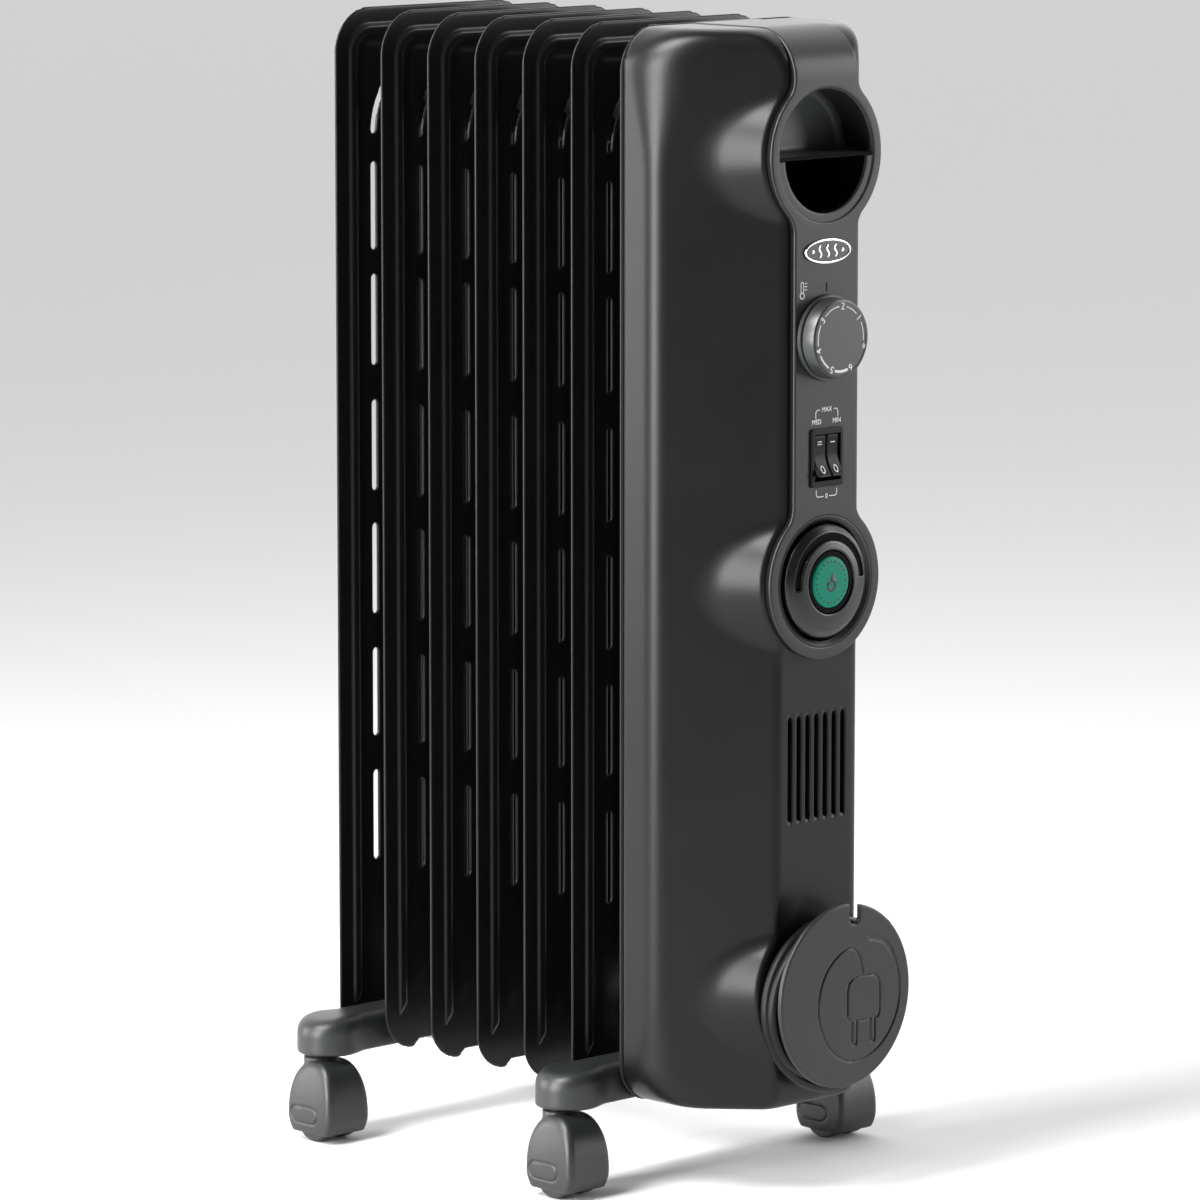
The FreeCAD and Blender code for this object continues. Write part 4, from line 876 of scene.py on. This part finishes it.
def rocker_distance(x, y, z):
    """A rocker about X 0 with its top pressed: a hollow front that sweeps out to a proud lower end.

    Its back is relieved, so that the lower end can be pressed in, and bored for the pivot pin.
    """
    drop = np.maximum(SWITCH_Z + 1.5 - z, 0) / 11.0
    rise = np.maximum(z - SWITCH_Z - 1.5, 0) / 11.0
    front = (-151.1 - 4.7 * drop ** 1.7 - 0.4 * rise ** 2 - y) * 0.85
    lower = SWITCH_Z - 10.5 + 0.18 * (y + 156.0) - z
    ends = np.maximum(lower, z - SWITCH_Z - 12.6)
    relief = (y + 143.8 + 0.42 * (SWITCH_Z - z)) * 0.92
    body = smooth_max(smooth_max(front, ends, 1.6), np.maximum(y + 146.0, relief), 0.5)
    bore = np.hypot(y - PIVOT_Y, z - SWITCH_Z) - 1.3
    return smooth_max(np.maximum(body, -bore), np.abs(x) - 4.7, 0.7)


def make_rockers():
    mesh = skin("rocker", rocker_distance, lines(-5.4, 5.4, 0.45), lines(-157.4, -145.2, 0.45),
                lines(SWITCH_Z - 11.8, SWITCH_Z + 13.6, 0.45))
    for side, name in ((-1, "left"), (1, "right")):
        node, body = "rocker_" + name, name + "_rocker"
        x = middle(node)[0]
        rocker = link("rocker_cap_" + name, mesh)
        rocker.location.x = x * MM
        finish_piece(rocker, "black_plastic", body, [node], material="switch_black")
        low_end = (0, SWITCH_Z - 6.3)
        oval = [ellipse(1.55, 2.1, low_end, 12), ellipse(1.0, 1.5, low_end, 12)]
        marks = [plate_mesh("oval", oval, 0, 0.12, 0.02)]
        for lift in ((0.7, -0.7) if side < 0 else (0.0,)):
            z = SWITCH_Z + 8.0 + lift
            marks.append(plate_mesh("bar", [rounded_box((0, z), 1.7, 0.28, 0.1)], 0, 0.12, 0.02))
        marked = join_meshes("rocker_marks", marks)
        lay_on(marked, mesh)
        print_on = link("rocker_marks_" + name, marked, 40)
        print_on.location.x = x * MM
        finish_piece(print_on, None, body, material="ink")


def lay_on(marks, surface_mesh):
    """Lay flat marks on the front of a mesh, 0.05 mm proud."""
    bm = bmesh.new()
    bm.from_mesh(surface_mesh)
    tree = BVHTree.FromBMesh(bm)
    bm.free()
    for vert in marks.vertices:
        hit = tree.ray_cast(Vector((vert.co.x, -0.3, vert.co.z)), Vector((0, 1, 0)))[0]
        vert.co.y += hit.y - 0.05 * MM


# ---- comfort button
DOME_R = [0.0, 18.0, 22.2, 27.2, 30.2, 31.2]
DOME_Y = [-155.65, -155.6, -155.3, -154.2, -152.4, -151.2]
PLATE_BACK = -147.4
ARC_SLOT_R, ARC_SLOT_HALF = 24.7, 2.1
ARC_SLOT_FLOOR = -153.4
FLAME = [(0.2, 5.6), (2.6, 2.4), (3.9, -0.6), (3.2, -3.8), (0.4, -5.3), (-2.9, -4.3), (-3.9, -1.2),
         (-2.5, 1.5), (-1.5, 0.3), (-0.6, 2.6), (0.2, 5.6)]
FLAME_HOLE = [(0.1, 0.6), (1.5, -1.5), (1.2, -3.2), (-0.2, -4.0), (-1.7, -3.0), (-1.7, -1.4), (0.1, 0.6)]


def comfort_plate_distance(x, y, z):
    """A domed ring with a sunk arc over its upper half."""
    r = np.hypot(x, z - COMFORT_Z)
    face = np.interp(r, DOME_R, DOME_Y) - y
    body = smooth_max(smooth_max(face * 0.93, r - 31.4, 0.8), y - PLATE_BACK, 0.5)
    angle = np.degrees(np.arctan2(z - COMFORT_Z, x))
    angle = np.where(angle < -90, angle + 360, angle)
    past = np.maximum(angle - 186.0, 2.0 - angle) * r * math.pi / 180
    slot = smooth_max(np.abs(r - ARC_SLOT_R) - ARC_SLOT_HALF, past, 1.0)
    slot = smooth_max(slot, y - ARC_SLOT_FLOOR, 0.4)
    hole = r - 17.65
    return smooth_max(smooth_max(body, -slot, 0.5), -hole, 0.6)


def make_comfort_plate():
    reach, step = 32.5, 0.55
    mesh = skin("comfort_dome", comfort_plate_distance, lines(-reach, reach, step),
                lines(-156.5, -146.5, step), lines(COMFORT_Z - reach, COMFORT_Z + reach, step))
    finish_piece(link("comfort_dome", mesh), "black_plastic", replaces=["comfort_plate"])
    # painted shade: the sunk arc's floor and walls get near-black rubber
    mesh.materials.append(FINISH["gasket_rubber"])
    for face in mesh.polygons:
        x, y, z = face.center / MM
        r = math.hypot(x, z - COMFORT_Z)
        sunk = y - np.interp(r, DOME_R, DOME_Y) > 0.35
        face.material_index = 1 if sunk and 21.5 < r < 28.0 else 0
    profile = [(36.1, -150.9), (35.6, -150.95), (33.4, -149.6), (33.0, -149.2), (33.0, PLATE_BACK),
               (36.1, PLATE_BACK)]
    finish_piece(turned("comfort_surround", profile, (0, COMFORT_Z)), "panel_satin")


def make_button():
    low, high = span("comfort_button")
    front, back = low[1], high[1]
    ring = [(14.35, front + 0.3), (14.7, front), (16.4, front), (17.0, front + 0.35), (17.2, front + 1.0),
            (17.2, back), (0, back), (0, front + 2.0), (14.35, front + 2.0)]
    button = turned("button", ring, (0, COMFORT_Z))
    # The button's ring is black plastic. It is given near-black rough rubber, which also stands in as painted
    # shade for the shadow gap round the button.
    finish_piece(button, "black_plastic", "button", ["comfort_button"], material="gasket_rubber")
    low, high = span("button_lens")
    front, back = low[1], high[1]
    dome = [(0, front)] + [(r, front + 0.0022 * r * r) for r in (4.0, 8.0, 11.0, 12.8)]
    dome += [(13.6, front + 0.62), (14.05, front + 1.0), (14.2, front + 1.6), (14.2, back), (0, back)]
    lens = turned("lens", dome, (0, COMFORT_Z), 96, 30)
    finish_piece(lens, "lens_green", "button", ["button_lens"])
    make_button_sign(front)


def make_button_sign(front):
    """A ring of dots round a plain flame."""
    marks = []
    for angle in range(0, 360, 15):
        dot = circle(clock_point(11.4, angle, COMFORT_Z), 0.62, 30)
        marks.append(plate_mesh("dot", [dot], front + 0.18, 0.4, 0.05))
    loops = []
    for outline in (FLAME, FLAME_HOLE):
        loops.append([(x, z + COMFORT_Z) for x, z in smooth_path(outline, 4)[:-1]])
    marks.append(plate_mesh("flame", loops, front - 0.02, 0.3, 0.05))
    sign = link("button_sign", join_meshes("button_sign", marks), 40)
    finish_piece(sign, None, "button", material="black_plastic")


# ---- winder disc
# Grooves in (x, z) from the disc's middle: the sign's cord, the thick end of it, its plug and prongs.
GROOVE = [(19, 30), (30, 27), (38, 18), (42.5, 5), (42, -10), (35, -24), (22, -34), (4, -37), (-11, -29),
          (-20, -14), (-21, 2), (-14, 17), (1, 26.5), (10, 22), (14, 10)]
THICK_END = [(19, 30), (30, 27), (36, 21.5)]
PLUG_SIGN = [(1.7, 2.5), (2.6, 6.6), (5.8, 9.0), (10.0, 9.8), (19.0, 9.8), (23.2, 9.0), (26.2, 6.6),
             (27.2, 2.5), (27.2, -12.0), (25.4, -15.0), (3.6, -15.0), (1.7, -12.0), (1.7, 2.5)]
PRONGS = [[(x - 1.9, -15), (x - 1.9, -26.0), (x - 1.0, -28.2), (x + 1.0, -28.2), (x + 1.9, -26.0),
           (x + 1.9, -15)] for x in (7.0, 21.5)]


def path_distance(x, z, path):
    """Distance to a line through the points of path."""
    nearest = np.full(x.shape, 1e3)
    for (ax, az), (bx, bz) in zip(path, path[1:]):
        length = (bx - ax) ** 2 + (bz - az) ** 2
        t = np.clip(((x - ax) * (bx - ax) + (z - az) * (bz - az)) / length, 0, 1)
        nearest = np.minimum(nearest, np.hypot(x - ax - t * (bx - ax), z - az - t * (bz - az)))
    return nearest


def disc_distance(x, y, z):
    """The winder's disc, with a notch for the cord and the sign pressed into its face."""
    low, high = span("winder_disc")
    up = z - WINDER_Z
    disc = smooth_max(smooth_max(np.hypot(x, up) - high[0], low[1] - y, 1.2), y - high[1], 0.8)
    notch = np.hypot(np.maximum(np.abs(x - 7.0) - 0.1, 0), np.minimum(up - 43.0, 0)) - 3.9
    disc = smooth_max(disc, -notch, 1.0)
    half_groove = 0.55
    thick = 0.9 * ramp(path_distance(x, up, THICK_END), 3.0, 0.5)
    line = path_distance(x, up, smooth_path(GROOVE, 4)) - half_groove - thick
    for path in [PLUG_SIGN] + PRONGS:
        line = np.minimum(line, path_distance(x, up, path) - half_groove)
    return smooth_max(disc, -smooth_max(line, y - (low[1] + 0.7), 0.3), 0.3)


def make_disc():
    low, high = span("winder_disc")
    xs = lines(low[0] - 1, high[0] + 1, 0.7)
    ys = lines(low[1] - 0.8, high[1] + 0.8, 0.5)
    zs = lines(low[2] - 1, high[2] + 1, 0.7)
    disc = link("winder_plate", skin("winder_plate", disc_distance, xs, ys, zs))
    finish_piece(disc, "panel_satin", replaces=["winder_disc"])


# ---- plug on the cord
def plug_distance(x, y, z):
    """In the plug's own frame: z up from the cord's end, blades down."""
    grip = 1.3 * np.cos(np.clip((z + 20.0) / 11.0, -1, 1) * math.pi / 2)
    body = smooth_max(smooth_max(np.abs(x) - 12.5 + 0.8 * grip, np.abs(y) - 7.5 + grip, 5.0),
                      np.maximum(-34.0 - z, z + 7.0), 2.5)
    ribs = 0.35 * np.cos((z + 7.0) * 2 * math.pi / 2.4)
    relief = smooth_max(np.hypot(x, y) - (4.3 - 0.16 * z) + ribs, np.maximum(-9.0 - z, z), 0.8)
    return smooth_min(body, relief, 1.0)


def make_plug():
    top = np.array(CORD_TAIL[-1])
    mesh = skin("plug", plug_distance, lines(-14, 14, 0.8), lines(-9, 9, 0.8), lines(-35.5, 1.5, 0.5))
    plug = link("plug", mesh)
    blades = []
    for x in (-6.35, 6.35):
        outline = [(x - 0.75, -33.0), (x + 0.75, -33.0), (x + 0.75, -49.6), (x + 0.4, -50.9),
                   (x - 0.4, -50.9), (x - 0.75, -49.6)]
        blades.append(plate_mesh("blade", [outline], -3.15, 6.3, 0.2))
    pins = keep_flats(link("plug_blades", join_meshes("plug_blades", blades), 40))
    for obj in (plug, pins):
        obj.location = Vector(top * MM)
        obj.rotation_euler = (0, 0, math.radians(47.0))
    finish_piece(plug, "cord_sheath", replaces=["mains_plug"])
    finish_piece(pins, "bright_steel")
    return plug, pins


# ---- feet and castors
def foot_distance(x, y, z):
    """A foot bar about its own line, with x along it and z from the floor: a bar with round ends."""
    low, high, end_x = 48.5, 70.5, 100.0
    side = np.abs(x)
    bar = np.maximum(np.abs(y) - 13.5, side - end_x)
    plan = smooth_min(bar, np.hypot(side - end_x, y) - 18.0, 6.0)
    top = high - 0.004 * np.maximum(side - 90, 0) ** 2
    body = smooth_max(plan, z - top, 9.0)
    body = smooth_max(body, low - z, 2.0)
    under = np.maximum(side - 48.0, z - (low + 7.0))
    over = np.maximum(side - 44.0, high - 9.2 - z)
    for void in (under, over):
        body = smooth_max(body, -void, 1.5)
    socket = np.maximum(np.hypot(side - 106.9, y) - 4.06, z - (low + 18.0))
    bolt = np.hypot(side - 20.4, y) - 3.1
    return np.maximum(np.maximum(body, -socket), -bolt)


def hood_distance(x, y, z):
    """A castor's hood about its stem, from the floor, facing -y, with its middle behind the stem."""
    ahead, half_y, power = y + 7.0, 18.3, 2.5
    above, below = np.maximum(z - 15.0, 0), np.maximum(15.0 - z, 0)
    past_y, past_z = np.abs(ahead) / half_y, above / 31.0
    blob = (past_y ** power + past_z ** power + 1e-9) ** (1 / power) - 1
    profile = blob * half_y + 0.028 * below ** 2
    domed = np.abs(x) - 16.75 + 0.0050 * above ** 2 + 0.0030 * ahead ** 2 + 0.012 * below ** 2
    outer = smooth_max(profile, domed, 4.0)
    inner = smooth_max(profile + 2.5, domed + 3.0, 4.0)
    web = np.abs(x) - 3.0
    neck = np.maximum(np.hypot(x, y) - 9.1, np.maximum(38.0 - z, z - 47.3))
    hood = smooth_min(outer, neck, 2.0)
    hood = smooth_max(hood, -np.maximum(inner, -web), 0.8)
    hood = smooth_max(hood, 5.0 - z, 0.8)
    pill = stadium(z - 15.5, y + 4.0, 6.5, 4.6)
    groove = np.maximum(np.abs(pill) - 0.45, -domed - 0.7)
    hood = smooth_max(hood, -groove, 0.3)
    axle = np.hypot(ahead, z - 14.5) - 2.45
    return np.maximum(hood, -np.maximum(axle, np.abs(x) - 12.6))


def make_feet():
    mesh = skin("foot_arm", foot_distance, lines(-120, 120, 1.1), lines(-20, 20, 1.1), lines(46, 73, 0.9))
    hood_mesh = skin("castor_cover", hood_distance, lines(-18, 18, 0.7), lines(-27, 13, 0.7),
                     lines(3.5, 49, 0.8))
    for end in ("front", "rear"):
        bar = link("foot_arm_" + end, mesh)
        node = "foot_bar_" + end
        bar.location.y = middle(node)[1] * MM
        finish_piece(bar, "foot_plastic", replaces=[node])
    for corner in ("fl", "fr", "rl", "rr"):
        hood = link("castor_cover_" + corner, hood_mesh)
        place = middle("castor_stem_" + corner)
        hood.location = (place[0] * MM, place[1] * MM, 0)
        finish_piece(hood, "foot_plastic", "swivel_" + corner, ["castor_hood_" + corner])


# ---- fins
FIN_LOW, FIN_HIGH = np.round(span("fin_1"), 3)
FIN_HALF, FIN_BASE, FIN_TOP = FIN_HIGH[0], FIN_LOW[2], FIN_HIGH[2]
HEADER_LOW_Z, HEADER_HIGH_Z = 92.0, 597.0
SLOT_X = 47.5
SLOT_HALF = 2.25
SLOT_SPANS = ((151.5, 203.5), (223.5, 274.5), (294.5, 346.5), (365.5, 417.5), (437.5, 489.5),
              (503.5, 553.5))
TOP_SLOT_R, TOP_SLOT_Z = 45.0, 569.5            # the curved slot at the top of each row


def fin_distance(x, y, z):
    """A fin about its middle plane: pressed sheets with a bead, oil channels and air slots."""
    side, thick = np.abs(x), np.abs(y)
    inset = -rounded_corner(side - FIN_HALF, z - FIN_TOP, 26.0)
    outline = np.maximum(-inset, rounded_corner(side - FIN_HALF, FIN_BASE - z, 22.0))
    recess = np.maximum(z - FIN_BASE - 4.0, side - 54.0 + (z - FIN_BASE))
    outline = smooth_max(outline, -recess, 1.5)
    bead_foot = 67.0 + 1.1 * np.abs(inset - 11.0)
    bead = 1.35 * ramp(3.9 - np.abs(inset - 13.0), 0, 2.6) + 0.45 * ramp(inset, 20.0, 22.5)
    sheet = smooth_max(thick - 0.65 - bead * ramp(z, bead_foot, bead_foot + 4.0), outline, 0.8)
    channel = np.minimum(np.hypot(x, z - HEADER_LOW_Z), np.hypot(x, z - HEADER_HIGH_Z)) - 30.0
    half = (HEADER_HIGH_Z - HEADER_LOW_Z) / 2
    for at in (-22.0, 0.0, 22.0):
        channel = smooth_min(channel, stadium(x - at, z - HEADER_LOW_Z - half, half, 8.0), 2.0)
    body = smooth_min(sheet, smooth_max(channel, thick - 5.9, 4.0), 1.2)
    across, up = side - (SLOT_X - TOP_SLOT_R), z - TOP_SLOT_Z
    turn = np.radians(np.clip(np.degrees(np.arctan2(up, across)), 3.0, 39.0))
    slot = np.hypot(across - TOP_SLOT_R * np.cos(turn), up - TOP_SLOT_R * np.sin(turn)) - SLOT_HALF
    for low, high in SLOT_SPANS:
        straight = stadium(side - SLOT_X, z - (low + high) / 2, (high - low) / 2 - SLOT_HALF, SLOT_HALF)
        slot = np.minimum(slot, straight)
    return smooth_max(body, -slot, 0.5)


def make_fins():
    """Seven fins of one mesh, on a grid that is close where the bead, the slots and the edges are."""
    slot_ends = [(end - 3.0, end + 3.0, 1.2) for pair in SLOT_SPANS for end in pair]
    xs = lines(-77, 77, 2.5, [(-77, -57, 0.9), (-51, -44, 0.75), (-31, 31, 1.6), (44, 51, 0.75),
                              (57, 77, 0.9)])
    ys = lines(-7.15, 7.2, 1.3, [(-2.6, 2.55, 0.65)])
    zs = lines(46, 643, 4.0, [(46, 80, 1.1), (568, 643, 1.3)] + slot_ends)
    mesh = skin("fin", fin_distance, xs, ys, zs)
    for index in range(1, 8):
        node = "fin_%d" % index
        fin = link("fin_sheet_%d" % index, mesh)
        fin.location.y = middle(node)[1] * MM
        finish_piece(fin, "fin_enamel", replaces=[node])


# ---- CAD nodes that are shown as they are
ARRIS_WIDTHS = {"switch_frame": 0.5, "winder_drum": 0.5, "header_caps": 0.5, "header_rings": 0.4}


def soften_cad():
    """A rounded arris and smooth faces on the carried-over nodes that can be seen."""
    for node, width in ARRIS_WIDTHS.items():
        obj = frame["nodes"][node]
        obj.modifiers.new("weld", "WELD").merge_threshold = 1e-5
        edge = obj.modifiers.new("arris", "BEVEL")
        edge.width = width * MM
        edge.segments = 2
        edge.limit_method = "ANGLE"
        edge.angle_limit = math.radians(38)
        edge.use_clamp_overlap = True
        keep_flats(obj)
        obj.data.polygons.foreach_set("use_smooth", np.ones(len(obj.data.polygons), bool))


# ---- the whole heater
FINISH = make_materials()
make_camera()
make_floor()
make_sky()
make_lights()
mains_cord = make_cord()
finish_piece(mains_cord, "cord_sheath", replaces=["cord_coil", "cord_tail"])
plug, pins = make_plug()
finish_cad_nodes()
soften_cad()
make_fins()
make_cover()
make_facia()
make_recess()
make_strip_marks()
make_badge()
make_knob()
make_rockers()
make_comfort_plate()
make_button()
make_disc()
make_feet()
